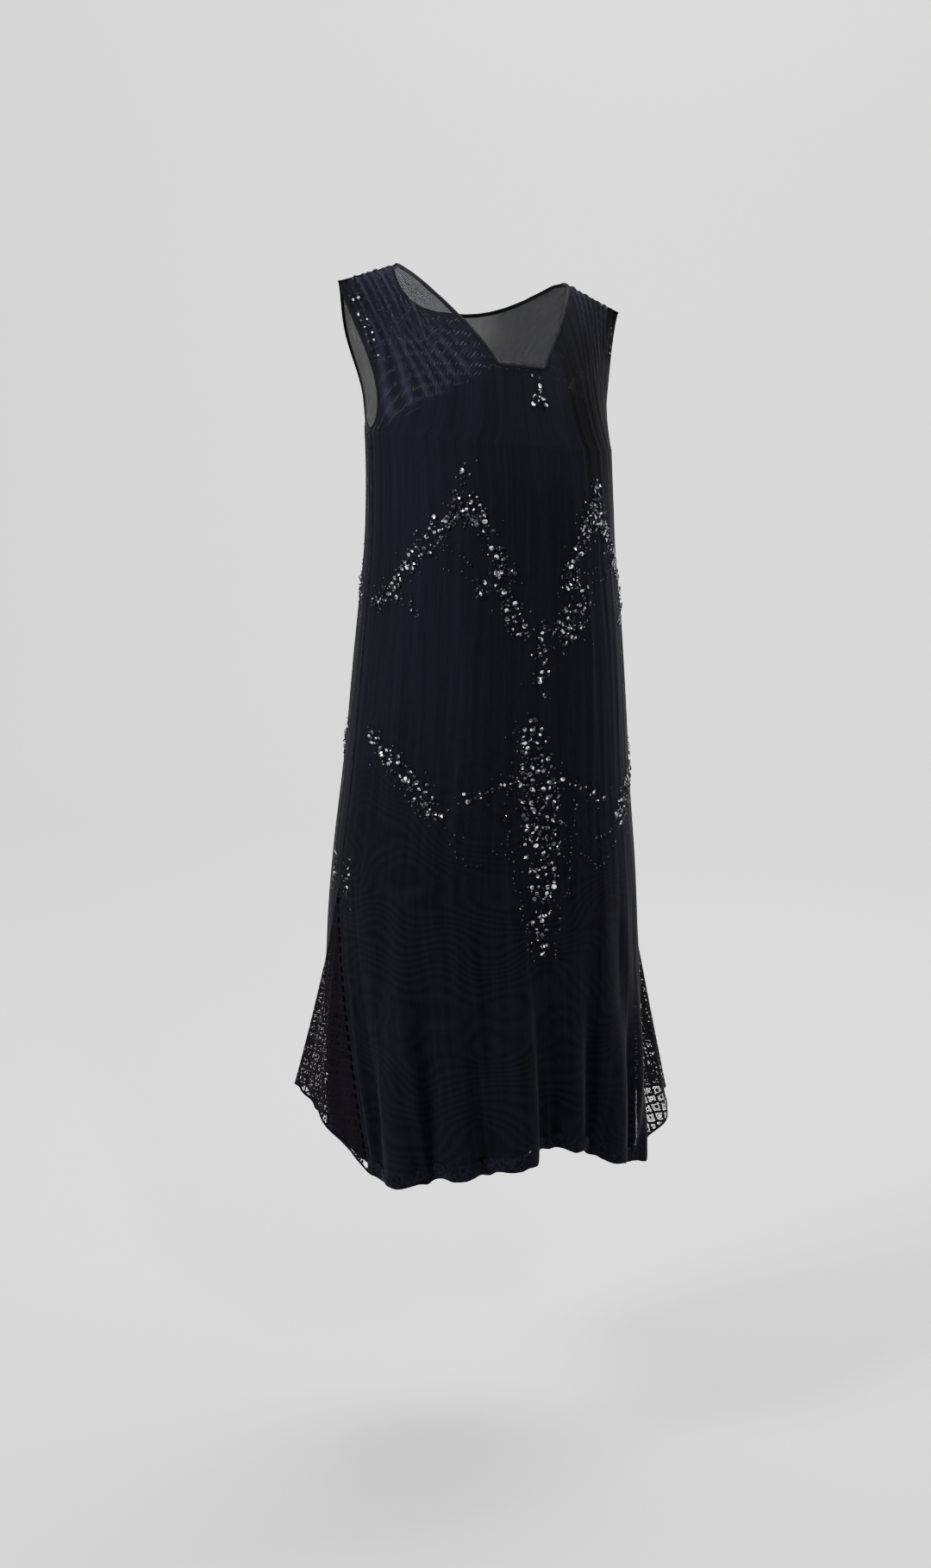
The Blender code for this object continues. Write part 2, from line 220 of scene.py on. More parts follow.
def ring(turn, height):
    """Points of the smooth form below the armholes."""
    half_width, front, back, centre_y = sizes_at(height)
    angle = np.radians(turn)
    depth = np.where(np.cos(angle) > 0, front, back)
    return np.stack([half_width * np.sin(angle), centre_y - depth * np.cos(angle), height + 0 * turn], -1)


def girth_at(height):
    """The length round the form at a height."""
    turns = np.linspace(0.0, 360.0, 181)
    around = ring(turns, np.full_like(turns, height))
    return np.linalg.norm(np.diff(around, axis=0), axis=1).sum()


print(f"girth {girth_at(SECTIONS[1][0]):.2f} m at the bust and {girth_at(NET_HEM):.2f} m at the hem")


# %% The top edge
def shoulder_height(x):
    """Height of the shoulder seam, which falls outward."""
    return NECK_HEIGHT - SHOULDER_SLOPE * (np.abs(x) - NECK_HALF_WIDTH)


def top_edge(side, across):
    """(x, height) of the finished top edge at a column, as a share of the panel's half width."""
    share = np.abs(across)
    t = (share - NECK_COLUMN) / (1 - NECK_COLUMN)
    strap_x = NECK_HALF_WIDTH + t * (SHOULDER_HALF_WIDTH - NECK_HALF_WIDTH)
    if side == "back":
        t = np.clip(share / NECK_COLUMN, 0, 1)
        neck_x = NECK_HALF_WIDTH * t
        neck_height = NECK_HEIGHT - BACK_NECK_DROP * (1 - t**BACK_NECK_CURVE)
    else:
        t = np.clip((share - CORNER_COLUMN) / (NECK_COLUMN - CORNER_COLUMN), 0, 1)
        flat = FRONT_NECK_HALF_FLAT * np.minimum(share / CORNER_COLUMN, 1)
        neck_x = flat + t * (NECK_HALF_WIDTH - FRONT_NECK_HALF_FLAT)
        neck_height = FRONT_NECK_HEIGHT + (NECK_HEIGHT - FRONT_NECK_HEIGHT) * t**FRONT_NECK_CURVE
    on_strap = share > NECK_COLUMN
    x = np.where(on_strap, strap_x, neck_x)
    return np.sign(across) * x, np.where(on_strap, shoulder_height(x), neck_height)


print(f"the shoulders fall to {shoulder_height(SHOULDER_HALF_WIDTH):.3f} m at their tips")

# %% The form above the armholes' foot
CENTRE_FADE = 1.5


def upper(side, across, height):
    """Points of the smooth form above the foot of the armholes."""
    top_x, top_height = top_edge(side, across)
    rise = np.clip((height - ARMHOLE_BOTTOM) / (top_height - ARMHOLE_BOTTOM), 0, 1)
    cut = np.sin(np.pi * rise**ARMHOLE_FULLNESS)
    turn = across * (90.0 - ARMHOLE_TURN[side] * cut)
    base = ring(turn if side == "front" else 180.0 - turn, np.full_like(turn, ARMHOLE_BOTTOM))
    x = base[..., 0] + (top_x - base[..., 0]) * rise - ARMHOLE_INWARD * cut * across**3
    climb = np.clip((height - ARMHOLE_BOTTOM) / (shoulder_height(x) - ARMHOLE_BOTTOM), 0, 1)
    power = SHOULDER_ROUNDNESS[side]
    centre_y = sizes_at(ARMHOLE_BOTTOM)[3]
    y = centre_y * (1 - rise) ** CENTRE_FADE + (base[..., 1] - centre_y) * (1 - climb**power) ** (1 / power)
    return np.stack([x, y, height], -1)


neck_middle = upper("front", np.zeros(1), np.full(1, FRONT_NECK_HEIGHT))[0]
print("middle of the front neckline at", tuple(round(float(c), 3) for c in neck_middle))


# %% Panels, folds and the hem's edge
def godet_share(height):
    """How far down a godet a height is, from 0 at its tip to 1 at the hem."""
    return np.clip((GODET_APEX - height) / (GODET_APEX - NET_HEM), 0, 1)


def panel_turn(side, across, height, godets):
    """The turn of a panel's column: a panel ends at the side seam, or at the edge of a godet."""
    lean = np.where(across > 0, GODETS["left"]["lean"], GODETS["right"]["lean"])
    half_turn = np.where(across > 0, GODETS["left"]["half_turn"], GODETS["right"]["half_turn"])
    share = godet_share(height) if godets else 0.0
    middle = 90.0 + lean * share
    half = half_turn * share
    if side == "front":
        return across * (middle - half)
    return 180.0 - across * (180.0 - middle - half)


def fold_ridge(side, turn, height):
    """How far the main folds stand out of the skirt."""
    return sum(
        depth * smooth((start - height) / (start - NET_HEM)) * bump(turn_between(turn, centre) / half_width)
        for centre, half_width, depth, start in FOLDS[side]
    )


def hem_drop(turn):
    """How far the dips let the hem down."""
    return sum(
        depth * bump(turn_between(turn, centre) / half_width)
        for centre, half_width, depth in HEM_DIPS
    )


def hem_edge(turn):
    """The drop of the hem, with the step where it was let down and the scallops of its rolled edge."""
    away = turn_between(turn, HEM_STEP_TURN)
    step = HEM_STEP * np.tanh(-away / HEM_STEP_TURNS) * bump(away / HEM_STEP_REACH)
    scallops = HEM_SCALLOP * np.sin(np.radians(turn) * HEM_SCALLOPS + 2.0 * np.sin(np.radians(turn) * 5))
    return hem_drop(turn) + step + scallops


front_end = float(panel_turn("front", 1.0, NET_HEM, True))
print(f"at the hem the front panel ends at a turn of {front_end:.0f} degrees, where the godet begins")


# %% Normals and the tilt
def grid_normals(points):
    """Outward normals of a grid whose rows go down and whose columns go round to the left."""
    down = np.gradient(points, axis=0)
    along = np.gradient(points, axis=1)
    normals = np.cross(down, along)
    return normals / np.linalg.norm(normals, axis=-1, keepdims=True)


def hung(points):
    """The dress hangs from its higher right shoulder."""
    out = points.copy()
    out[..., 2] -= TILT * out[..., 0]
    return out


print(f"the dress hangs tilted by {math.degrees(math.atan(TILT)):.1f} degrees")

# %% [markdown]
# ## Creases
#
# Thin net hangs in soft, shallow streaks. A simulation would make even ones. Here the main creases are
# placed one by one, as one would arrange a dress on a stand: each is a soft ridge or trough that runs between
# two places, with its own width and depth, and fades at both ends. Gathers fan out of the shoulder seams,
# and a little uneven noise breaks up what is left.

# %% Creases, listed one by one
# Share of the half width and height at both ends, half width as a share, depth (a trough is negative)
CREASES = {
    "front": (
        (-0.86, -0.19, -0.70, -0.52, 0.030, -0.0011),
        (-0.72, -0.20, -0.64, -0.66, 0.026, 0.0013),
        (-0.58, -0.24, -0.52, -0.60, 0.022, -0.0009),
        (-0.47, -0.16, -0.46, -0.44, 0.020, 0.0010),
        (-0.36, -0.30, -0.36, -0.78, 0.028, 0.0014),
        (-0.24, -0.20, -0.27, -0.46, 0.018, -0.0009),
        (-0.13, -0.34, -0.15, -0.72, 0.024, -0.0011),
        (-0.04, -0.16, -0.06, -0.40, 0.018, 0.0009),
        (0.07, -0.26, 0.04, -0.62, 0.022, 0.0012),
        (0.18, -0.18, 0.20, -0.50, 0.020, -0.0010),
        (0.30, -0.26, 0.27, -0.70, 0.026, 0.0012),
        (0.42, -0.20, 0.44, -0.47, 0.020, -0.0008),
        (0.55, -0.22, 0.50, -0.66, 0.026, 0.0012),
        (0.68, -0.19, 0.62, -0.58, 0.024, -0.0010),
        (0.82, -0.20, 0.72, -0.46, 0.028, 0.0012),
        (0.90, -0.36, 0.78, -0.70, 0.026, -0.0010),
        (-0.96, -0.28, -0.78, -0.30, 0.060, 0.0010),
        (0.96, -0.27, 0.80, -0.30, 0.060, 0.0010),
    ),
    "back": (
        (-0.84, -0.20, -0.70, -0.60, 0.028, 0.0012),
        (-0.66, -0.18, -0.60, -0.50, 0.024, -0.0011),
        (-0.50, -0.22, -0.46, -0.72, 0.024, 0.0013),
        (-0.34, -0.16, -0.34, -0.48, 0.020, -0.0009),
        (-0.20, -0.28, -0.18, -0.66, 0.024, 0.0012),
        (-0.05, -0.18, -0.03, -0.54, 0.022, -0.0011),
        (0.10, -0.24, 0.09, -0.70, 0.022, 0.0012),
        (0.26, -0.18, 0.24, -0.46, 0.020, -0.0009),
        (0.40, -0.26, 0.38, -0.74, 0.026, 0.0013),
        (0.57, -0.19, 0.52, -0.52, 0.022, -0.0010),
        (0.74, -0.22, 0.64, -0.62, 0.028, 0.0012),
        (0.88, -0.30, 0.78, -0.66, 0.024, -0.0009),
    ),
}
print(len(CREASES["front"]), "creases in front and", len(CREASES["back"]), "behind")

# %% [markdown]
# ## Pleats of the skirt
#
# Below the hips the cloth is wider than the body, so it falls in pleats of uneven width. Sculpting could
# make them, but a table lets one number be changed at a time. Each pleat is a soft ridge that begins at its
# own height and grows toward the hem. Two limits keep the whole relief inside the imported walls' room.

# %% Pleats between the skirt's main folds
# Share of the half width, half width as a share, depth at the hem, height where it begins
SKIRT_PLEATS = (
    (-0.95, 0.070, 0.0060, -0.72),
    (-0.78, 0.095, 0.0105, -0.60),
    (-0.62, 0.055, 0.0060, -0.74),
    (-0.45, 0.105, 0.0125, -0.56),
    (-0.28, 0.060, 0.0070, -0.70),
    (-0.12, 0.090, 0.0100, -0.62),
    (0.02, 0.050, 0.0055, -0.80),
    (0.16, 0.100, 0.0120, -0.64),
    (0.33, 0.060, 0.0065, -0.72),
    (0.49, 0.095, 0.0100, -0.66),
    (0.66, 0.065, 0.0085, -0.60),
    (0.81, 0.085, 0.0085, -0.70),
    (0.94, 0.060, 0.0060, -0.78),
)
FOLD_BOOST = 1.15
PLEAT_SWAY = 0.012
BACK_PLEAT_SHIFT = 0.96
print(len(SKIRT_PLEATS), "pleats on each side")

# %% How deep the creases and gathers are
# A crease whose ends differ by less than this in height runs across, and is narrower by this share
LEVEL_CREASE = 0.05
LEVEL_CREASE_SHARE = 0.3
GATHER_COUNT = 8
GATHER_DEPTH = 0.0025
GATHER_REACH = 0.165
GATHER_SLANT = 0.9
STREAK_DEPTH = 0.0004
GATHER_START = 0.56
GATHER_SOFT_START = 0.10
GATHER_SOFT_EDGE = 0.08
MOST_INWARD = -0.0024
MOST_OUTWARD = 0.0175
print(f"relief from {1000 * MOST_INWARD:.1f} to {1000 * MOST_OUTWARD:.1f} mm")


# %% The creases as one depth
def uneven(across, height, count, offset):
    """Slow waves across and down that never line up, from -1 to 1."""
    waves = np.sin(count * across * math.pi + 2.1 * np.sin(7.3 * height + offset) + offset)
    return 0.6 * waves + 0.4 * np.sin(1.73 * count * across * math.pi + 3.0 * height + 2.0 * offset)


def crease_depth(side, across, height):
    """How far the creases lift the net off its smooth form."""
    out = np.zeros_like(across)
    for a0, h0, a1, h1, half_width, depth in CREASES[side]:
        if abs(h1 - h0) < LEVEL_CREASE:
            t = (across - a0) / (a1 - a0)
            away = (height - (h0 + (h1 - h0) * t)) / (half_width * LEVEL_CREASE_SHARE)
        else:
            t = (height - h0) / (h1 - h0)
            away = (across - (a0 + (a1 - a0) * t)) / half_width
        out += depth * bump(away) * bump(2 * np.clip(t, 0, 1) - 1)
    for centre, half_width, depth, start in SKIRT_PLEATS:
        centre = centre if side == "front" else -centre * BACK_PLEAT_SHIFT
        grown = smooth((start - height) / (start - NET_HEM))
        sway = PLEAT_SWAY * np.sin(9.0 * height + 17.0 * centre)
        out += depth * grown * bump((across - centre - sway) / half_width)
    turn = panel_turn(side, across, np.minimum(height, ARMHOLE_BOTTOM), True)
    out += FOLD_BOOST * fold_ridge(side, turn, height)
    out += GATHER_DEPTH * gather_wave(across, height)
    out += STREAK_DEPTH * uneven(across, height, 23, 1.0 if side == "front" else 4.0)
    inward = MOST_INWARD * np.tanh(np.clip(out, None, 0) / MOST_INWARD)
    outward = MOST_OUTWARD * np.tanh(np.clip(out, 0, None) / MOST_OUTWARD)
    return np.where(out < 0, inward, outward)


def gather_wave(across, height):
    """Gathers that fan from the shoulder seam toward the middle as they fall, from -1 to 1."""
    below = np.clip(NECK_HEIGHT - height, 0, None)
    fan = np.abs(across) + GATHER_SLANT * below
    strap = smooth((fan - GATHER_START) / GATHER_SOFT_START)
    fade = (1 - smooth(below / GATHER_REACH)) * smooth((1 - np.abs(across)) / GATHER_SOFT_EDGE)
    phase = np.pi * 2 * GATHER_COUNT * (fan - NECK_COLUMN) / (1 - NECK_COLUMN)
    wide = np.sin(phase + 1.3 * np.sin(5 * across + 17 * height))
    narrow = np.sin(1.7 * phase + 1.9 * np.sin(9 * across - 23 * height) + 0.8)
    return strap * fade * (0.62 * wide + 0.38 * narrow)


hem_line = np.linspace(-1, 1, 101)
hem_relief = crease_depth("front", hem_line, np.full(101, NET_HEM))
print(f"the front's relief at the hem: {1000 * hem_relief.min():.1f} to {1000 * hem_relief.max():.1f} mm")

# %% [markdown]
# ## From grids to meshes
#
# A sewn panel keeps the grain that it had when it was cut, and the net's threads follow it over every bend.
# Unwrapping a finished mesh would lose that. Each panel here is a grid of points, so a helper turns the grid
# into a mesh and gives it a UV map, in metres, of where each point lay on the flat cloth.

# %% Helpers for meshes
def link(name, mesh, material):
    """The mesh as a piece in the scene, with its material."""
    mesh.materials.append(material)
    piece = bpy.data.objects.new(name, mesh)
    bpy.context.scene.collection.objects.link(piece)
    return piece


def grid_mesh(name, points, grain, material):
    """A sheet through a grid of points. grain holds the place of each point on the flat cloth, in metres."""
    rows, columns = points.shape[:2]
    index = np.arange(rows * columns).reshape(rows, columns)
    faces = np.stack([index[:-1, :-1], index[1:, :-1], index[1:, 1:], index[:-1, 1:]], -1).reshape(-1, 4)
    mesh = bpy.data.meshes.new(name)
    mesh.from_pydata(points.reshape(-1, 3).tolist(), [], faces.tolist())
    uv = mesh.uv_layers.new(name="grain")
    flat = grain.reshape(-1, 2)[faces.reshape(-1)]
    uv.data.foreach_set("uv", flat.astype(np.float32).ravel())
    mesh.shade_smooth()
    return link(name, mesh, material)


def point_value(piece, name, values):
    """Stores a number at every point of the piece, for its material to read."""
    stored = piece.data.attributes.new(name, "FLOAT", "POINT")
    stored.data.foreach_set("value", values.astype(np.float32).ravel())


def area_of(piece):
    """The area of a piece's mesh, in square metres."""
    return sum(face.area for face in piece.data.polygons)


def finish_piece(piece, slot, *nodes):
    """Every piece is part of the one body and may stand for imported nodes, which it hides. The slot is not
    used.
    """
    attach(piece, "root")
    if nodes:
        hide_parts(*nodes)
    return piece


print("ready to make pieces:", ", ".join(f.__name__ for f in (link, grid_mesh, point_value, finish_piece)))

# %% [markdown]
# ## Shader groups
#
# The net's holes are far too small and too many to model, so they are cut out of the sheet by the Alpha of
# its material. A shader group is a recipe that several materials can share. The first one draws two sets of
# slanting threads on the cloth's own UV map, in metres, so that they follow the grain wherever it bends.


# %% Node helpers
def new_group(name, inputs, outputs):
    """(group, its input node, its output node). An input is (label, socket type, default or None)."""
    group = bpy.data.node_groups.new(name, "ShaderNodeTree")
    for label, kind, value in inputs:
        socket = group.interface.new_socket(label, in_out="INPUT", socket_type=kind)
        if value is not None:
            socket.default_value = value
    for label, kind in outputs:
        group.interface.new_socket(label, in_out="OUTPUT", socket_type=kind)
    return group, group.nodes.new("NodeGroupInput"), group.nodes.new("NodeGroupOutput")


def feed(tree, value, socket):
    """Sets a socket to a number, or links it to the socket to read."""
    if isinstance(value, (int, float, tuple)):
        socket.default_value = value
    elif value is not None:
        tree.links.new(value, socket)


def maths(tree, operation, a, b=None, c=None, clamp=False):
    """A Math node. Each of a, b and c is a number or the socket to read."""
    node = tree.nodes.new("ShaderNodeMath")
    node.operation = operation
    node.use_clamp = clamp
    for socket, value in zip(node.inputs, (a, b, c)):
        feed(tree, value, socket)
    return node.outputs[0]


def noise(tree, place, scale, detail=2.0, roughness=0.5):
    """The value of a soft random pattern at a place."""
    node = tree.nodes.new("ShaderNodeTexNoise")
    node.inputs["Detail"].default_value = detail
    node.inputs["Roughness"].default_value = roughness
    feed(tree, scale, node.inputs["Scale"])
    tree.links.new(place, node.inputs["Vector"])
    return node.outputs[0]


def parts_of(tree, vector):
    """The outputs X, Y and Z of a place."""
    node = tree.nodes.new("ShaderNodeSeparateXYZ")
    tree.links.new(vector, node.inputs[0])
    return node.outputs


def group_node(tree, group, **values):
    """A shared group in this tree, with its inputs set or linked."""
    node = tree.nodes.new("ShaderNodeGroup")
    node.node_tree = group
    for label, value in values.items():
        feed(tree, value, node.inputs[label.replace("_", " ")])
    return node


print("node helpers:", ", ".join(f.__name__ for f in (new_group, feed, maths, noise, parts_of, group_node)))

# %% The net of slanting threads
net_threads, given, put = new_group(
    "net threads",
    [
        ("Grain", "NodeSocketVector", None),
        ("Pitch", "NodeSocketFloat", 0.0016),
        ("Thread", "NodeSocketFloat", 0.3),
    ],
    [("Mask", "NodeSocketFloat")],
)
grain = parts_of(net_threads, given.outputs["Grain"])
u = maths(net_threads, "DIVIDE", grain["X"], given.outputs["Pitch"])
v = maths(net_threads, "DIVIDE", grain["Y"], given.outputs["Pitch"])
masks = []
for operation in ("ADD", "SUBTRACT"):
    wave = maths(net_threads, "FRACT", maths(net_threads, operation, u, v))
    away = maths(net_threads, "ABSOLUTE", maths(net_threads, "SUBTRACT", wave, 0.5))
    edge = maths(net_threads, "SUBTRACT", 0.5, maths(net_threads, "MULTIPLY", given.outputs["Thread"], 0.5))
    masks.append(maths(net_threads, "GREATER_THAN", away, edge))
net_threads.links.new(maths(net_threads, "MAXIMUM", *masks), put.inputs["Mask"])
print(net_threads.name, "has", len(net_threads.nodes), "nodes")

# %% [markdown]
# ## The watered look
#
# Two layers of net over each other make wavy bands like water, and drawn threads leave streaks along the
# grain. Two real layers would do it, but only with a mesh as fine as the cloth's. Here noise stretched along
# the grain makes the streaks. A sine of the height, pushed about by a slow noise, makes the bands.

# %% The streaks and the watered look
GRAIN_STRETCH = (1.0, 0.03, 1.0)
BROAD_SCALE = 26.0
SWELL_SCALE = 9.0
RINGS_BY_SWELL = 110.0
RINGS_BY_HEIGHT = 420.0
WATER_START = -0.50
WATER_RATE = 5.0
STREAK_SHARE = 0.58
BROAD_SHARE = 0.44
watered, given, put = new_group(
    "watered streaks",
    [
        ("Grain", "NodeSocketVector", None),
        ("Streaks", "NodeSocketFloat", 120.0),
        ("Water", "NodeSocketFloat", 0.5),
    ],
    [("Shade", "NodeSocketFloat"), ("Height", "NodeSocketFloat")],
)
stretch = watered.nodes.new("ShaderNodeVectorMath")
stretch.operation = "MULTIPLY"
stretch.inputs[1].default_value = GRAIN_STRETCH
watered.links.new(given.outputs["Grain"], stretch.inputs[0])
streaks = noise(watered, stretch.outputs[0], given.outputs["Streaks"], 4.0, 0.65)
broad = noise(watered, stretch.outputs[0], BROAD_SCALE)
swell = noise(watered, given.outputs["Grain"], SWELL_SCALE, 1.0)
grain_y = parts_of(watered, given.outputs["Grain"])["Y"]
rings = maths(watered, "MULTIPLY", swell, RINGS_BY_SWELL)
rings = maths(watered, "ADD", rings, maths(watered, "MULTIPLY", grain_y, RINGS_BY_HEIGHT))
rings = maths(watered, "MULTIPLY_ADD", maths(watered, "SINE", rings), 0.5, 0.5)
low_down = maths(watered, "SUBTRACT", WATER_START, grain_y)
low_down = maths(watered, "MULTIPLY", low_down, WATER_RATE, clamp=True)
rings = maths(watered, "MULTIPLY", maths(watered, "MULTIPLY", rings, low_down), given.outputs["Water"])
shade = maths(watered, "MULTIPLY_ADD", streaks, STREAK_SHARE, rings)
shade = maths(watered, "MULTIPLY_ADD", broad, BROAD_SHARE, shade)
watered.links.new(shade, put.inputs["Shade"])
watered.links.new(streaks, put.inputs["Height"])
print(watered.name, "has", len(watered.nodes), "nodes")

# %% [markdown]
# ## Materials
#
# Black cloth is never a single black. Each finish below is a Principled shader whose colour runs between two
# dark tones, so that the cloth keeps some depth in the shade. The helpers set the constants of a shader,
# read the cloth's grain or a number stored at its points, and spread a value over two colours.

# %% Material helpers
def new_material(name, roughness, **settings):
    """(material, node tree, Principled shader) with its constant sockets set."""
    material = bpy.data.materials.new(name)
    material.use_nodes = True
    tree = material.node_tree
    shader = tree.nodes["Principled BSDF"]
    shader.inputs["Roughness"].default_value = roughness
    for label, value in settings.items():
        shader.inputs[label.replace("_", " ")].default_value = value
    return material, tree, shader


def grain_of(tree):
    """The place on the flat cloth, in metres."""
    node = tree.nodes.new("ShaderNodeUVMap")
    node.uv_map = "grain"
    return node.outputs[0]


def stored(tree, name):
    """The number stored at the piece's points under a name."""
    node = tree.nodes.new("ShaderNodeAttribute")
    node.attribute_name = name
    return node.outputs["Fac"]


def colour_between(tree, shader, value, low, high, dark, light):
    """Gives the shader a colour between dark and light as the value goes from low to high."""
    spread = tree.nodes.new("ShaderNodeMapRange")
    spread.inputs["From Min"].default_value = low
    spread.inputs["From Max"].default_value = high
    tree.links.new(value, spread.inputs["Value"])
    mix = tree.nodes.new("ShaderNodeMix")
    mix.data_type = "RGBA"
    mix.inputs["A"].default_value = (*dark, 1.0)
    mix.inputs["B"].default_value = (*light, 1.0)
    tree.links.new(spread.outputs[0], mix.inputs["Factor"])
    tree.links.new(mix.outputs["Result"], shader.inputs["Base Color"])


def add_bump(tree, shader, height, distance, strength=0.5):
    """Tips the shader's normal as if the surface rose and fell with the height."""
    node = tree.nodes.new("ShaderNodeBump")
    node.inputs["Distance"].default_value = distance
    node.inputs["Strength"].default_value = strength
    tree.links.new(height, node.inputs["Height"])
    tree.links.new(node.outputs[0], shader.inputs["Normal"])


def speckle(tree, scale):
    """A fine random pattern in the piece's own space."""
    return noise(tree, tree.nodes.new("ShaderNodeTexCoord").outputs["Object"], scale)


print("material helpers:", ", ".join(f.__name__ for f in (new_material, stored, colour_between, speckle)))

# %% [markdown]
# ## The net
#
# The real net is a fine mesh that looks blue-black where light falls through it. A painted texture would
# repeat and blur, so the threads are drawn by the group above. Two numbers stored at the points guide
# them. The first is painted light: it lightens the colour on the ribs of the drawn-up cloth, standing in
# for their sheen and for light seen through the net. The second closes the mesh at the left strap, where
# the cloth lies in several layers, and darkens its colour there as painted shade. Toward the hem the net's
# colour is darkened a little, as painted shade where less light falls on the skirt.

# %% The net
NET_PITCH = 0.0017
NET_THREAD = 0.78
GATHERED_THREAD = 0.97
# Painted light: how much the stored rib light lightens the net's colour
RIB_PAINTED_LIGHT = 2.0
# Painted shade: how much the left strap's layers darken the net's colour
STRAP_PAINTED_SHADE = -0.40
# Painted shade: how much darker the net's colour is toward the hem, below a height
NET_PAINTED_SHADE_LOW = 0.22
NET_PAINTED_SHADE_TOP = -0.48
NET_PAINTED_SHADE_RATE = 4.5
net_cloth, tree, shader = new_material(
    "net cloth", 0.86, Sheen_Weight=0.022, Sheen_Roughness=0.4, Specular_IOR_Level=0.08
)
grain = grain_of(tree)
layers_and_painted_shade = stored(tree, "layers_and_painted_shade")
thread = maths(tree, "MULTIPLY_ADD", layers_and_painted_shade, GATHERED_THREAD - NET_THREAD, NET_THREAD)
mesh_mask = group_node(tree, net_threads, Grain=grain, Pitch=NET_PITCH, Thread=thread).outputs["Mask"]
look = group_node(tree, watered, Grain=grain, Streaks=150.0, Water=0.15)
# Painted light: a lighter colour on the yoke's ribs, for their sheen and the light seen through the net
shade = maths(tree, "MULTIPLY_ADD", stored(tree, "painted_rib_light"), RIB_PAINTED_LIGHT, look.outputs["Shade"])
# Painted shade: the left strap's colour is darkened
shade = maths(tree, "MULTIPLY_ADD", layers_and_painted_shade, STRAP_PAINTED_SHADE, shade)
# Painted shade: the colour darkens toward the hem
low_down = maths(tree, "SUBTRACT", NET_PAINTED_SHADE_TOP, parts_of(tree, grain)["Y"])
low_down = maths(tree, "MULTIPLY", low_down, NET_PAINTED_SHADE_RATE, clamp=True)
shade = maths(tree, "SUBTRACT", shade, maths(tree, "MULTIPLY", low_down, NET_PAINTED_SHADE_LOW))
colour_between(tree, shader, shade, 0.20, 1.25, (0.0008, 0.0009, 0.0020), (0.0103, 0.0107, 0.0212))
tree.links.new(mesh_mask, shader.inputs["Alpha"])
add_bump(tree, shader, look.outputs["Height"], 0.0012, 0.6)
print(f"{net_cloth.name}: a thread every {1000 * NET_PITCH:.1f} mm")

# %% [markdown]
# ## The godets' net
#
# The godets are of a figured net: dots and rings tied by fine cords, with an open ladder along each seam.
# The figures could be modelled, but there are thousands. A cell pattern spaces them evenly: the distance to
# each cell's middle makes dots and rings, the distance to its edge makes the cords, and the stored "seam
# distance" says where the ladder runs.

# %% The godets' patterned net
LACE_SCALE = 84.0
LACE_RANDOMNESS = 0.30
FINE_PITCH = 0.0019
FINE_THREAD = 0.27
# Shares of a cell of the pattern
DOT_RADIUS = 0.24
RING_INNER = 0.31
RING_OUTER = 0.40
CORD_HALF_WIDTH = 0.15
LADDER_WIDTH = 0.0110
LADDER_PITCH = 0.0120
RUNG_SHARE = 0.40
godet_lace, tree, shader = new_material("godet lace", 0.88, Sheen_Weight=0.012, Specular_IOR_Level=0.06)
grain = grain_of(tree)
fine = group_node(tree, net_threads, Grain=grain, Pitch=FINE_PITCH, Thread=FINE_THREAD).outputs["Mask"]
cell_shapes = {}
for feature in ("F1", "DISTANCE_TO_EDGE"):
    cells = tree.nodes.new("ShaderNodeTexVoronoi")
    cells.feature = feature
    cells.inputs["Scale"].default_value = LACE_SCALE
    cells.inputs["Randomness"].default_value = LACE_RANDOMNESS
    tree.links.new(grain, cells.inputs["Vector"])
    cell_shapes[feature] = cells.outputs["Distance"]
dots = maths(tree, "LESS_THAN", cell_shapes["F1"], DOT_RADIUS)
ring_inner = maths(tree, "GREATER_THAN", cell_shapes["F1"], RING_INNER)
ring_outer = maths(tree, "LESS_THAN", cell_shapes["F1"], RING_OUTER)
rings = maths(tree, "MULTIPLY", ring_inner, ring_outer)
cords = maths(tree, "LESS_THAN", cell_shapes["DISTANCE_TO_EDGE"], CORD_HALF_WIDTH)
raised = maths(tree, "MAXIMUM", maths(tree, "MAXIMUM", dots, cords), rings)
lace = maths(tree, "MAXIMUM", raised, fine)
beside_seam = maths(tree, "LESS_THAN", stored(tree, "seam distance"), LADDER_WIDTH)
rungs = maths(tree, "FRACT", maths(tree, "DIVIDE", parts_of(tree, grain)["Y"], LADDER_PITCH))
rungs = maths(tree, "LESS_THAN", rungs, RUNG_SHARE)
open_work = maths(tree, "MULTIPLY", beside_seam, maths(tree, "SUBTRACT", 1.0, rungs))
tree.links.new(maths(tree, "MULTIPLY", lace, maths(tree, "SUBTRACT", 1.0, open_work)), shader.inputs["Alpha"])
colour_between(tree, shader, raised, 0.0, 1.0, (0.0016, 0.0014, 0.0022), (0.0040, 0.0032, 0.0046))
add_bump(tree, shader, raised, 0.0006)
print(f"{godet_lace.name}: figures {1000 / LACE_SCALE:.0f} mm and rungs {1000 * LADDER_PITCH:.0f} mm apart")

# %% [markdown]
# ## The slip's crepe
#
# Crepe is woven of hard-twisted threads, so its face is pebbled and matt. The pebbles are far too small to
# model, and a very fine noise as bump gives them. The streaks of the net's group, without its bands, keep
# the large plain areas from looking flat.

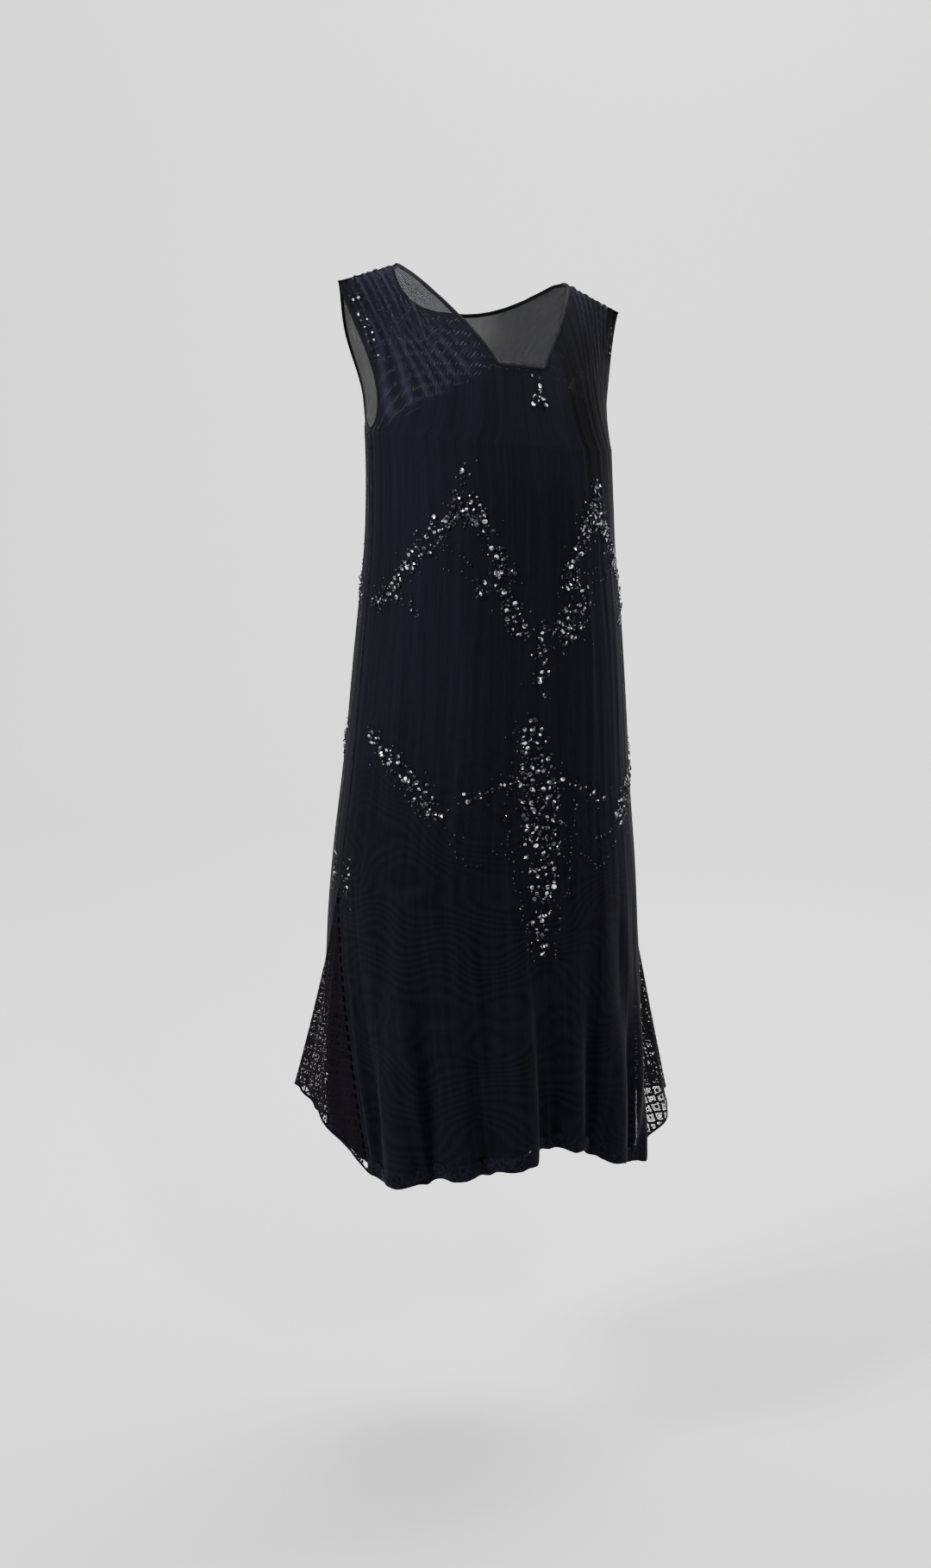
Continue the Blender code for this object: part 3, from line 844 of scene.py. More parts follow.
# %% The slip's crepe
PEBBLE_SCALE = 900.0
slip_crepe, tree, shader = new_material("slip crepe", 0.90, Sheen_Weight=0.02, Specular_IOR_Level=0.06)
grain = grain_of(tree)
look = group_node(tree, watered, Grain=grain, Streaks=60.0, Water=0.0)
shade = look.outputs["Shade"]
colour_between(tree, shader, shade, 0.30, 0.70, (0.0008, 0.0010, 0.0026), (0.0030, 0.0035, 0.0080))
add_bump(tree, shader, noise(tree, grain, PEBBLE_SCALE), 0.0003)
print(f"{slip_crepe.name}: pebbles about {1000 / PEBBLE_SCALE:.1f} mm across")

# %% [markdown]
# ## Satin and turned net
#
# The bindings are strips of dull satin cut on the bias, and the seams and hems are the net itself, turned
# over and closed. Both are too narrow for a woven pattern to be seen, so a fine speckle between two tones
# and a slight bump are enough. Satin is a little smoother, so it takes more light along its fold.

# %% The satin of the bindings
satin, tree, shader = new_material("satin binding", 0.62, Sheen_Weight=0.01, Specular_IOR_Level=0.10)
weave = speckle(tree, 420.0)
colour_between(tree, shader, weave, 0.35, 0.65, (0.0008, 0.0009, 0.0016), (0.0028, 0.0031, 0.0048))
add_bump(tree, shader, weave, 0.0004)
print(satin.name, "has", len(tree.nodes), "nodes")

# %% The doubled net of the seams and hems
turned_net, tree, shader = new_material("turned net", 0.88, Sheen_Weight=0.01, Specular_IOR_Level=0.06)
weave = speckle(tree, 260.0)
colour_between(tree, shader, weave, 0.35, 0.65, (0.0012, 0.0014, 0.0030), (0.0060, 0.0066, 0.0120))
add_bump(tree, shader, weave, 0.0005)
print(turned_net.name, "has", len(tree.nodes), "nodes")

# %% [markdown]
# ## Foil and glass
#
# Sequins are stamped from thin silvered sheet and flash only where they face a light. The beads are of dark
# glass. One tone for all of them would look printed, so a noise gives each its own: from nearly black to
# bright foil for a sequin, and between two darks for a bead. A clear coat adds the hard, small highlight.

# %% Sequins and beads
sequin_foil, tree, shader = new_material(
    "sequin foil", 0.18, Metallic=0.9, Coat_Weight=0.4, Coat_Roughness=0.06
)
colour_between(tree, shader, speckle(tree, 160.0), 0.51, 0.62, (0.030, 0.031, 0.038), (0.90, 0.91, 0.94))
jet_glass, tree, shader = new_material("jet glass", 0.16, Coat_Weight=0.5, Coat_Roughness=0.05)
colour_between(tree, shader, speckle(tree, 300.0), 0.40, 0.60, (0.006, 0.007, 0.010), (0.030, 0.032, 0.042))
print("materials:", ", ".join(m.name for m in bpy.data.materials))

# %% [markdown]
# ## The net overdress
#
# On the real dress the net is cut as a front and a back panel, gathered a little into the shoulder seams. A
# cloth simulation would drape two flat panels, but it could not be told where each crease should lie. So
# each panel here is one fine grid: the smooth form first, then every point moved along its own normal by
# the creases. A finer grid can carry finer creases, so it has a point every few millimetres.

# %% The net's smooth form
NORMAL_STEP = 0.002
TURN_STEP = 0.5


def net_at(side, across, height):
    """Points of the net's smooth form, with the skirt's folds."""
    high = upper(side, across, np.maximum(height, ARMHOLE_BOTTOM))
    low_height = np.minimum(height, ARMHOLE_BOTTOM)
    turn = panel_turn(side, across, low_height, True)
    ridge = fold_ridge(side, turn, low_height)
    low = ring(turn, low_height) + form_normals(turn, low_height) * ridge[..., None]
    return np.where((height > ARMHOLE_BOTTOM)[..., None], high, low)


def form_normals(turn, height):
    """Outward normals of the smooth form below the armholes."""
    along = ring(turn + TURN_STEP, height) - ring(turn - TURN_STEP, height)
    down = ring(turn, height - NORMAL_STEP) - ring(turn, height + NORMAL_STEP)
    normals = np.cross(down, along)
    return normals / np.linalg.norm(normals, axis=-1, keepdims=True)


def columns_of(side, count):
    """Places of the columns across a panel, so that both panels go round to the left."""
    line = np.linspace(-1, 1, count)
    return line if side == "front" else line[::-1]


hem_middle = net_at("front", np.zeros(1), np.full(1, NET_HEM))[0]
print("middle of the front hem at", tuple(round(float(c), 3) for c in hem_middle))

# %% Rows of a net panel
PANEL_COLUMNS = 201
UPPER_ROWS = 56
LOWER_ROWS = 190
TOP_ROW_GROWTH = 1.25
PANEL_WIDTH = 0.47


def panel_rows(side, across):
    """Heights of a net panel's rows at each column, from its top edge to its hem."""
    top_x, top_height = top_edge(side, across)
    full = shoulder_height(top_x) - ARMHOLE_BOTTOM
    top_angle = np.arcsin(np.clip((top_height - ARMHOLE_BOTTOM) / full, 0, 1))
    share = (np.arange(UPPER_ROWS, 0, -1) / UPPER_ROWS)[:, None] ** TOP_ROW_GROWTH
    high = ARMHOLE_BOTTOM + full * np.sin(top_angle * share)
    bottom = NET_HEM - hem_edge(panel_turn(side, across, np.full_like(across, NET_HEM), True))
    low = ARMHOLE_BOTTOM + (bottom - ARMHOLE_BOTTOM) * np.linspace(0, 1, LOWER_ROWS)[:, None]
    return np.concatenate([high, low])


print(UPPER_ROWS + LOWER_ROWS, "rows of", PANEL_COLUMNS, "points on each panel")

# %% [markdown]
# ## Painted light on the yoke's ribs and painted shade on the left strap
#
# Where the net is drawn up at the shoulders it lies double in narrow ribs, and at the left strap in several
# layers. Finer folds in the grid would need far more points. Instead two numbers are worked out at each
# point and stored there, and the net's material reads them. The first is painted light: a lighter colour on
# the ribs that stands in for their sheen and for light seen through the net. The ribs on the right spread
# like a fan from the tip of the shoulder and end at the slip's edge. The second closes the mesh at the left
# strap and darkens its colour there as painted shade.

# %% Painted light on the yoke's ribs and painted shade on the left strap
FAN_X = -0.175
FAN_HEIGHT = 0.020
FAN_STREAKS = 72.0
FAN_PAINTED_LIGHT = 0.34
FAN_TOP = -0.03
FAN_SOFT_TOP = 0.05
FAN_SOFT_END = 0.014
FAN_INNER_EDGE = -0.20
FAN_SOFT_EDGE = 0.30
# Layers of the left strap: a denser mesh, and painted shade in the net's colour
LEFT_STRAP_LAYERS_AND_SHADE = {"front": 1.0, "back": 0.3}
LAYERS_INNER_EDGE = 0.22
LAYERS_SOFT_EDGE = 0.20
LAYERS_END = -0.24
LAYERS_SOFT_END = 0.05


def slip_top(across):
    """Height of the slip's front top edge, which falls from the neckline's corners toward the armholes."""
    beside = np.clip((np.abs(across) - SLIP_TOP_FLAT) / (1 - SLIP_TOP_FLAT), 0, None)
    return SLIP_TOP - SLIP_SIDE_DROP * beside**SLIP_TOP_CURVE


def painted_fan_streaks(x, across, height):
    """Painted light in ribs of the yoke on the wearer's right, spreading down from the shoulder, from 0 to 1.
    """
    spread = np.arctan2(x - FAN_X, FAN_HEIGHT - height)
    ribs = np.sin(FAN_STREAKS * spread + 1.8 * np.sin(31 * height) + 1.3 * np.sin(13 * spread))
    yoke = smooth((FAN_TOP - height) / FAN_SOFT_TOP) * smooth((height - slip_top(across)) / FAN_SOFT_END)
    return (0.5 + 0.5 * ribs) ** 2 * yoke * smooth((FAN_INNER_EDGE - across) / FAN_SOFT_EDGE)


def painted_rib_light_at(side, x, across, height):
    """Painted light at each point: a lighter colour on the ribs of the gathered net, and in front on the fan.
    """
    rib_light = np.clip(gather_wave(across, height), 0, 1) ** 2
    if side == "front":
        rib_light = rib_light + FAN_PAINTED_LIGHT * painted_fan_streaks(x, across, height)
    return rib_light


def left_strap_layers_and_shade(side, across, height):
    """Layers that close the mesh at the left strap and darken its colour as painted shade, from 0 to 1."""
    beside_neck = smooth((across - LAYERS_INNER_EDGE) / LAYERS_SOFT_EDGE)
    return LEFT_STRAP_LAYERS_AND_SHADE[side] * beside_neck * smooth((height - LAYERS_END) / LAYERS_SOFT_END)


print(f"the slip's front edge falls from {SLIP_TOP} to {float(slip_top(1.0)):.3f} m")

# %% Front and back of the overdress
NET_SOFT_EDGE = 0.05
net_points = {}
net_outward = {}
overdress = {}
for side in ("front", "back"):
    heights = panel_rows(side, columns_of(side, PANEL_COLUMNS))
    across = np.broadcast_to(columns_of(side, PANEL_COLUMNS), heights.shape)
    smooth_form = net_at(side, across, heights)
    outward = grid_normals(smooth_form)
    depth = crease_depth(side, across, heights)
    depth *= smooth((1 - np.abs(across)) / NET_SOFT_EDGE)
    net_points[side] = smooth_form + outward * depth[..., None]
    net_outward[side] = outward
    grain = np.stack([across * PANEL_WIDTH / 2, heights], -1)
    overdress[side] = grid_mesh(f"overdress_{side}", hung(net_points[side]), grain, net_cloth)
    # Painted light stored for the net's material: lighter ribs on the yoke
    point_value(overdress[side], "painted_rib_light", painted_rib_light_at(side, net_points[side][..., 0], across, heights))
    # The left strap's layers: a denser mesh, and painted shade in the colour
    point_value(overdress[side], "layers_and_painted_shade", left_strap_layers_and_shade(side, across, heights))
    finish_piece(overdress[side], "net", f"net_{side}")
    print(f"overdress_{side}: {area_of(overdress[side]):.3f} m2, {len(overdress[side].data.polygons)} faces")

# %% [markdown]
# ## The godets
#
# A godet is a fan of cloth let into a slit so that the hem swings out. These two are of a more open net, and
# their hems rise in the middle and fall to points at the seams. A simulation would let a flat triangle find
# its own folds, but not these ones. Here the form swells outward by a formula between two edges that lie
# exactly on the panels' edges, so no gap opens at the seams.

# %% The form of a godet
GODET_COLUMNS = 81
GODET_ROWS = 96
GODET_START = 0.015
GODET_FLUTES = 6.5
GODET_FLUTE_DEPTH = 0.0030
GODET_HALF_WIDTH = 0.155


def godet_grid(godet):
    """(points, places on the flat cloth, distances to the nearer seam) of a godet's grid."""
    side = godet["side"]
    t = np.linspace(-1, 1, GODET_COLUMNS)[None, :]
    share = np.linspace(GODET_START, 1, GODET_ROWS)[:, None]
    edge_drop = hem_drop(side * (90.0 + godet["lean"] + t * godet["half_turn"]))
    bottom = NET_HEM - edge_drop * t * t + godet["rise"] * bump(t)
    height = GODET_APEX + (bottom - GODET_APEX) * share
    fallen = godet_share(height)
    ripple = 1 + GODET_RIPPLE_DEPTH * np.sin(np.pi * GODET_RIPPLES * t)
    belly = godet["flare"] * fallen ** godet["lateness"] * bump(t) * ripple
    flutes = np.sin(np.pi * GODET_FLUTES * t + 1.3 * np.sin(9 * height)) * (1 - t * t) * fallen
    turn = side * (90.0 + godet["lean"] * fallen + t * godet["half_turn"] * fallen)
    points = ring(turn, height) + form_normals(turn, height) * (belly + GODET_FLUTE_DEPTH * flutes)[..., None]
    grain = np.stack([t * fallen * GODET_HALF_WIDTH, height], -1)
    from_seam = (1 - np.abs(t)) * fallen * GODET_HALF_WIDTH
    return points[:, ::side], grain[:, ::side], from_seam[:, ::side]


for name, godet in GODETS.items():
    print(f"{name} godet: flared by {godet['flare']} m, its hem raised by {godet['rise']} m in the middle")

# %% Both godets
godet_points = {}
godet_pieces = {}
for name, godet in GODETS.items():
    points, grain, from_seam = godet_grid(godet)
    godet_points[name] = points
    godet_pieces[name] = grid_mesh(f"side_godet_{name}", hung(points), grain, godet_lace)
    point_value(godet_pieces[name], "seam distance", from_seam)
    finish_piece(godet_pieces[name], "godet", f"godet_{name}")
    print(f"side_godet_{name}: {area_of(godet_pieces[name]):.3f} m2")

# %% [markdown]
# ## The slip
#
# Under the net hangs a plain slip. Its front edge is level in the middle and falls toward the armholes, so
# the shoulders stay sheer. A copy of the net, pushed inward, would have the wrong edges and every fine
# crease. So it is made from the same formulas, a little inward and with shallower folds, and its two edges
# are thickened where the cloth is turned and stitched.

# %% Front and back of the slip
SLIP_COLUMNS = 141
SLIP_ROWS = 190
TURNED_EDGE = 0.009
TURNED_PROUD = 0.0007
SLIP_UNEVEN = 0.0006

underslip = {}
for side in ("front", "back"):
    across = np.broadcast_to(columns_of(side, SLIP_COLUMNS), (SLIP_ROWS, SLIP_COLUMNS))
    top = slip_top(across if side == "front" else np.ones_like(across))
    bottom = SLIP_HEM - hem_edge(panel_turn(side, across, SLIP_HEM, False))
    heights = top + (bottom - top) * np.linspace(0, 1, SLIP_ROWS)[:, None]
    turn = panel_turn(side, across, heights, False)
    low_height = np.minimum(heights, ARMHOLE_BOTTOM)
    ridge = SLIP_FOLD_SHARE * fold_ridge(side, turn, low_height)
    low = ring(turn, low_height) + form_normals(turn, low_height) * ridge[..., None]
    high = upper(side, across, np.maximum(heights, ARMHOLE_BOTTOM))
    form = np.where((heights > ARMHOLE_BOTTOM)[..., None], high, low)
    top_edge_share = smooth(1 - (top - heights) / TURNED_EDGE)
    hem_share = smooth(1 - (heights - bottom) / TURNED_EDGE)
    soft = SLIP_UNEVEN * uneven(across, heights, 6, 2.5)
    move = -LAYER_GAP + TURNED_PROUD * np.maximum(top_edge_share, hem_share) + soft
    slip_points = form + grid_normals(form) * move[..., None]
    grain = np.stack([across * PANEL_WIDTH / 2, heights], -1)
    underslip[side] = grid_mesh(f"underslip_{side}", hung(slip_points), grain, slip_crepe)
    finish_piece(underslip[side], "slip", f"slip_{side}")
    print(f"underslip_{side}: {area_of(underslip[side]):.3f} m2")

# %% [markdown]
# ## Bands along a line
#
# A cut edge of net would fray, so it is folded into a narrow strip of satin, and the seams and hems are
# narrow bands too. A curve with a bevel could stand for them, but it turns as the line bends and not with
# the cloth. So a helper sweeps a rounded section along the line, held square to the cloth at every step.


# %% Lines at even steps
def even_line(points, outward, spacing, closed):
    """The line and its normals at even steps."""
    if closed:
        points = np.vstack([points, points[:1]])
        outward = np.vstack([outward, outward[:1]])
    steps = np.linalg.norm(np.diff(points, axis=0), axis=1)
    far = np.concatenate([[0.0], np.cumsum(steps)])
    count = max(8, int(far[-1] / spacing))
    at = np.linspace(0, far[-1], count, endpoint=not closed)
    line = np.stack([np.interp(at, far, points[:, k]) for k in range(3)], -1)
    normals = np.stack([np.interp(at, far, outward[:, k]) for k in range(3)], -1)
    return line, normals / np.linalg.norm(normals, axis=1, keepdims=True)


def along_line(line, closed):
    """The direction of the line at each of its points."""
    if closed:
        ahead = np.roll(line, -1, axis=0) - np.roll(line, 1, axis=0)
    else:
        ahead = np.gradient(line, axis=0)
    return ahead / np.linalg.norm(ahead, axis=1, keepdims=True)


def softened(line, passes, closed):
    """The line with its corners rounded by averaging neighbours."""
    for _ in range(passes):
        middle = (np.roll(line, 1, axis=0) + 2 * line + np.roll(line, -1, axis=0)) / 4
        if not closed:
            middle[[0, -1]] = line[[0, -1]]
        line = middle
    return line


square = np.array([(0.0, 0, 0), (1, 0, 0), (1, 1, 0), (0, 1, 0)])
square_line = even_line(square, square + (0, 0, 1), 0.1, True)[0]
print("round a square of 1 m at steps of 0.1 m:", len(square_line), "points")

# %% A band along a line
SECTION_SIDES = 10
ROUNDING_PASSES = 3
WOBBLE = 0.05


def sweep(points, outward, half_width, half_thick, inset=0.0, closed=False, spacing=0.003, lift=0.0):
    """(vertices, faces) of a band with a rounded section along a line."""
    line, normals = even_line(points, outward, spacing, closed)
    line = softened(line, ROUNDING_PASSES, closed)
    ahead = along_line(line, closed)
    sideways = np.cross(ahead, normals)
    sideways /= np.linalg.norm(sideways, axis=1, keepdims=True)
    normals = np.cross(sideways, ahead)
    line = line + sideways * inset + normals * lift
    angle = np.arange(SECTION_SIDES) * 2 * np.pi / SECTION_SIDES
    far = np.arange(len(line)) * spacing
    wobble = 1 + WOBBLE * np.sin(far * 310) + WOBBLE * np.sin(far * 127 + 1.0)
    rings = line[:, None] + sideways[:, None] * (half_width * wobble[:, None] * np.cos(angle))[..., None]
    rings = rings + normals[:, None] * (half_thick * np.sin(angle))[None, :, None]
    count = len(line)
    faces = []
    for i in range(count if closed else count - 1):
        for k in range(SECTION_SIDES):
            here = i * SECTION_SIDES
            there = (i + 1) % count * SECTION_SIDES
            n = (k + 1) % SECTION_SIDES
            faces.append((here + k, there + k, there + n, here + n))
    if not closed:
        faces.append(tuple(range(SECTION_SIDES)))
        faces.append(tuple((count - 1) * SECTION_SIDES + k for k in reversed(range(SECTION_SIDES))))
    return rings.reshape(-1, 3), faces


def joined_sweeps(name, sweeps, material):
    """One piece made of several bands."""
    points = []
    faces = []
    for vertices, some in sweeps:
        shift = sum(len(p) for p in points)
        points.append(vertices)
        faces += [tuple(shift + i for i in face) for face in some]
    mesh = bpy.data.meshes.new(name)
    mesh.from_pydata(hung(np.concatenate(points)).tolist(), [], faces)
    mesh.shade_smooth()
    return link(name, mesh, material)


def edge_line(side, rows, columns):
    """(points, outward normals) of a net panel's grid along some rows or columns."""
    return net_points[side][rows, columns], net_outward[side][rows, columns]


def chained(*lines):
    """Several lines as one."""
    return np.concatenate([p for p, _ in lines]), np.concatenate([n for _, n in lines])


square_band = sweep(square, square + (0, 0, 1), 0.01, 0.005, closed=True, spacing=0.1)
print("a band round it:", len(square_band[0]), "points and", len(square_band[1]), "faces")

# %% [markdown]
# ## Bindings
#
# The neckline and each armhole are closed loops, half on the front panel and half on the back, so the band
# runs along the front's edge and back along the other's. It lies a little inward of the edge, half sunk
# into the net, as a folded strip does that holds the raw edge between its two halves.

# %% Bindings of the neckline and the armholes
BINDING_HALF_WIDTH = 0.0027
BINDING_HALF_THICK = 0.0014
BINDING_INSET = 0.0026
BINDING_SINK = 0.0007
COLUMN_TOLERANCE = 0.001
LAST = PANEL_COLUMNS - 1
neck_columns = np.flatnonzero(np.abs(columns_of("front", PANEL_COLUMNS)) < NECK_COLUMN + COLUMN_TOLERANCE)
down = np.arange(0, UPPER_ROWS + 1)
loops = {
    "neck": chained(edge_line("front", 0, neck_columns), edge_line("back", 0, neck_columns[1:-1])),
    "armhole_right": chained(edge_line("front", down[::-1], 0), edge_line("back", down[1:-1], LAST)),
    "armhole_left": chained(edge_line("front", down, LAST), edge_line("back", down[-2:0:-1], 0)),
}
bindings = {}
for name, (points, outward) in loops.items():
    band = sweep(
        points, outward, BINDING_HALF_WIDTH, BINDING_HALF_THICK, BINDING_INSET, True, lift=-BINDING_SINK
    )
    bindings[name] = joined_sweeps(f"{name}_edge", [band], satin)
    finish_piece(bindings[name], "binding", f"{name}_binding")
print("bindings:", ", ".join(bindings))

# %% [markdown]
# ## Seams and hems
#
# A seam in net shows as a narrow dark line, since its allowances lie under it, and the turned hem as a
# darker band. Lines in the material would lie flat, so each is a band of its own that stands a little
# proud: two shoulder seams, four edges of the side seams, the panels' hems and the godets' rolled hems.

# %% Seams and hems
HEM_FOLD = 0.0200
HEM_HALF_THICK = 0.00098
ROLLED_HALF_WIDTH = 0.00182
SEAM_HALF_WIDTH = 0.0020
SEAM_HALF_THICK = 0.0007
SIDE_SEAM_SPACING = 0.005
seams = []
hems = []
strap = np.flatnonzero(columns_of("front", PANEL_COLUMNS) >= NECK_COLUMN)
for columns in (strap, LAST - strap):
    points, outward = edge_line("front", 0, columns)
    seams.append(sweep(points, outward + (0, 0, 1), SEAM_HALF_WIDTH, SEAM_HALF_THICK))
for side in ("front", "back"):
    for column in (0, LAST):
        points, outward = edge_line(side, np.arange(UPPER_ROWS, UPPER_ROWS + LOWER_ROWS), column)
        seams.append(sweep(points, outward, SEAM_HALF_WIDTH, SEAM_HALF_THICK, spacing=SIDE_SEAM_SPACING))
    points, outward = edge_line(side, -1, np.arange(PANEL_COLUMNS))
    hems.append(sweep(points, outward, HEM_FOLD / 2, HEM_HALF_THICK, inset=-HEM_FOLD / 2))
for points in godet_points.values():
    hems.append(sweep(points[-1], grid_normals(points)[-1], ROLLED_HALF_WIDTH, HEM_HALF_THICK))
net_seams = finish_piece(joined_sweeps("net_seams", seams, turned_net), "net")
net_hems = finish_piece(joined_sweeps("net_rolled_hems", hems, turned_net), "net")
print(len(seams), "seam bands and", len(hems), "hem bands")

# %% [markdown]
# ## Sequins and beads
#
# The design is sewn by hand in chevrons over the bust and hips and a tapering column down the skirt. Each
# route is a short list of corners on the flat cloth. Rows of places are laid beside it, a little unevenly,
# and the beads are strewn about them. Painting the places by hand would match no better and could not be
# changed. The random numbers come from one fixed seed, so the design is the same each time.

# %% Routes of the design
# Corners as (turn from the middle, height, width of the band), and whether both halves have the route
ROUTES = (
    (((36, -0.216, 0.006), (34, -0.245, 0.030), (32, -0.275, 0.046)), True),
    (((39, -0.262, 0.026), (49, -0.300, 0.022), (60, -0.332, 0.018)), True),
    (((60, -0.332, 0.018), (68, -0.362, 0.016), (81, -0.386, 0.012)), True),
    (((68, -0.368, 0.010), (54, -0.390, 0.008)), True),
    (((27, -0.268, 0.022), (20, -0.300, 0.018), (14, -0.335, 0.020)), True),
    (((17, -0.330, 0.010), (27, -0.358, 0.018)), True),
    (((14, -0.345, 0.010), (13, -0.372, 0.022), (9, -0.402, 0.026)), True),
    (((21, -0.366, 0.014), (17, -0.388, 0.028), (14, -0.410, 0.014)), False),
    (((0, -0.392, 0.018), (0, -0.430, 0.016), (0, -0.480, 0.008)), False),
    (((-5, -0.508, 0.016), (-3, -0.545, 0.034), (-1, -0.600, 0.046), (0, -0.680, 0.034)), False),
    (((0, -0.685, 0.034), (-1, -0.735, 0.024), (0, -0.792, 0.010)), False),
    (((76, -0.543, 0.014), (62, -0.570, 0.020), (50, -0.594, 0.024)), True),
    (((48, -0.598, 0.024), (40, -0.632, 0.024)), True),
    (((29, -0.604, 0.012), (22, -0.592, 0.010), (10, -0.578, 0.008)), True),
    (((82, -0.705, 0.010), (82, -0.745, 0.008)), True),
)
NECK_ROUTE = ((7, -0.101, 0.012), (7, -0.118, 0.016), (7, -0.131, 0.030))
# Routes of single small beads
BEAD_ROUTES = (
    ((48, -0.315), (40, -0.332), (30, -0.338)),
    ((62, -0.350), (44, -0.300), (30, -0.325)),
    ((66, -0.580), (44, -0.635), (26, -0.650)),
    ((14, -0.600), (12, -0.680), (4, -0.800)),
    ((36, -0.660), (26, -0.690), (16, -0.660)),
)
print(len(ROUTES), "routes of sequins,", sum(both for _, both in ROUTES), "of them on both halves")

# %% Rows beside a route
SEQUIN_SPACING = 0.0074
BEAD_SPACING = 0.0065
NECK_SPACING = 0.0075
ROW_SPACING = 0.0076
BEAD_ROW_WIDTH = 0.001
BEAD_SPREADS = (0.004, 0.009)
PLACE_JITTER = 0.0018
LEFT_OUT = 0.15


def rows_along(corners, spacing):
    """Places in rows beside a route, on the flat cloth in metres. Each corner is (turn, height, width)."""
    flat = np.array([(turn / 90.0 * PANEL_WIDTH / 2, height) for turn, height, _ in corners])
    widths = [width for _, _, width in corners]
    steps = np.linalg.norm(np.diff(flat, axis=0), axis=1)
    far = np.concatenate([[0.0], np.cumsum(steps)])
    count = max(1, round(far[-1] / spacing))
    places = []
    for step in range(count + 1):
        at = far[-1] * step / count
        middle = np.array([np.interp(at, far, flat[:, k]) for k in range(2)])
        i = min(int(np.searchsorted(far, at, side="right")) - 1, len(steps) - 1)
        ahead = (flat[i + 1] - flat[i]) / steps[i]
        width = np.interp(at, far, widths)
        rows = max(1, round(width / ROW_SPACING))
        for row in range(rows):
            aside = (row - (rows - 1) / 2 + 0.25 * (step % 2)) * ROW_SPACING
            place = middle + np.array([-ahead[1], ahead[0]]) * aside + rng.normal(0, PLACE_JITTER, 2)
            if rng.random() > LEFT_OUT:
                places.append(place)
    return places


def mirrored(places):
    """The same places on the other half of the panel."""
    return [place * (-1, 1) for place in places]


def single(corners):
    """The corners of a route that is one bead wide."""
    return [(turn, height, BEAD_ROW_WIDTH) for turn, height in corners]


sequin_places = []
bead_places = []
for corners, both in ROUTES:
    sequin_places += rows_along(corners, SEQUIN_SPACING)
    if both:
        sequin_places += mirrored(rows_along(corners, SEQUIN_SPACING))
for corners in BEAD_ROUTES:
    bead_places += rows_along(single(corners), BEAD_SPACING)
    bead_places += mirrored(rows_along(single(corners), BEAD_SPACING))
for spread in BEAD_SPREADS:
    bead_places += [place + rng.normal(0, spread, 2) for place in sequin_places]
neck_places = rows_along(NECK_ROUTE, NECK_SPACING)
print(len(sequin_places), "sequins and", len(bead_places), "beads on a panel")

# %% [markdown]
# ## From the flat cloth to the worn one
#
# The design is laid out flat, but a sequin has to sit on the crease under it and face the way the cloth
# faces. Shrinkwrap could press a flat design onto the net. The formulas of the form do it directly: they
# give the point and the outward direction for any place. The rows beside the armholes follow the bindings.

# %% Places on the worn cloth
MOST_ACROSS = 0.985
ACROSS_STEP = 0.004
ARMHOLE_SPACING = 0.0085
ARMHOLE_LIFT = 0.0016
ARMHOLE_FRONT_Y = 0.02


def sewn_on(side, places, lift):
    """(points, outward normals) on the outside of the creased net, for places on the flat cloth."""
    flat = np.array(places)
    across = np.clip(flat[:, 0] / (PANEL_WIDTH / 2), -MOST_ACROSS, MOST_ACROSS)
    height = flat[:, 1]
    step = ACROSS_STEP if side == "front" else -ACROSS_STEP
    along = net_at(side, across + step, height) - net_at(side, across - step, height)
    drop = net_at(side, across, height - NORMAL_STEP) - net_at(side, across, height + NORMAL_STEP)
    normals = np.cross(drop, along)
    normals /= np.linalg.norm(normals, axis=-1, keepdims=True)
    depth = crease_depth(side, across, height) + lift
    return net_at(side, across, height) + normals * depth[:, None], normals


def armhole_rows(name, offsets, low, high):
    """(points, normals) of rows beside an armhole's edge, between two heights."""
    points, outward = loops[name]
    line, normals = even_line(points, outward, ARMHOLE_SPACING, True)
    ahead = along_line(line, True)
    sideways = np.cross(ahead, normals)
    kept = (line[:, 2] > low) & (line[:, 2] < high) & (line[:, 1] < ARMHOLE_FRONT_Y)
    found = [line[kept] + sideways[kept] * offset + normals[kept] * ARMHOLE_LIFT for offset in offsets]
    return np.concatenate(found), np.concatenate([normals[kept]] * len(offsets))


print("first sequin at", tuple(round(float(c), 3) for c in sewn_on("front", sequin_places[:1], 0.0)[0][0]))

# %% [markdown]
# ## A sequin and a bead
#
# A real sequin is a slightly cupped disc with a hole, a few millimetres wide, and a bead is a cut tube or
# ball of glass. There are thousands, so each has only the few faces that its highlight needs: eight for the
# cup of a sequin, and flat sides on a bead so that it glints as it turns.


# %% Shapes to sew on
def small_mesh(name, points, faces):
    """A shape to copy from. It is taken away once everything is sewn."""
    mesh = bpy.data.meshes.new(name)
    mesh.from_pydata(points, [], faces)
    made = bpy.data.objects.new(name, mesh)
    bpy.context.scene.collection.objects.link(made)
    return made


def flat_ring(radius, sides, height):
    """Points at even turns round the Z axis."""
    angles = [k * math.tau / sides for k in range(sides)]
    return [(radius * math.cos(angle), radius * math.sin(angle), height) for angle in angles]


def cupped_disc(radius, cup, sides=8):
    """A shallow cup of triangles round its lowest point."""
    faces = [(0, 1 + k, 1 + (k + 1) % sides) for k in range(sides)]
    return small_mesh("sequin shape", [(0.0, 0.0, 0.0)] + flat_ring(radius, sides, cup), faces)


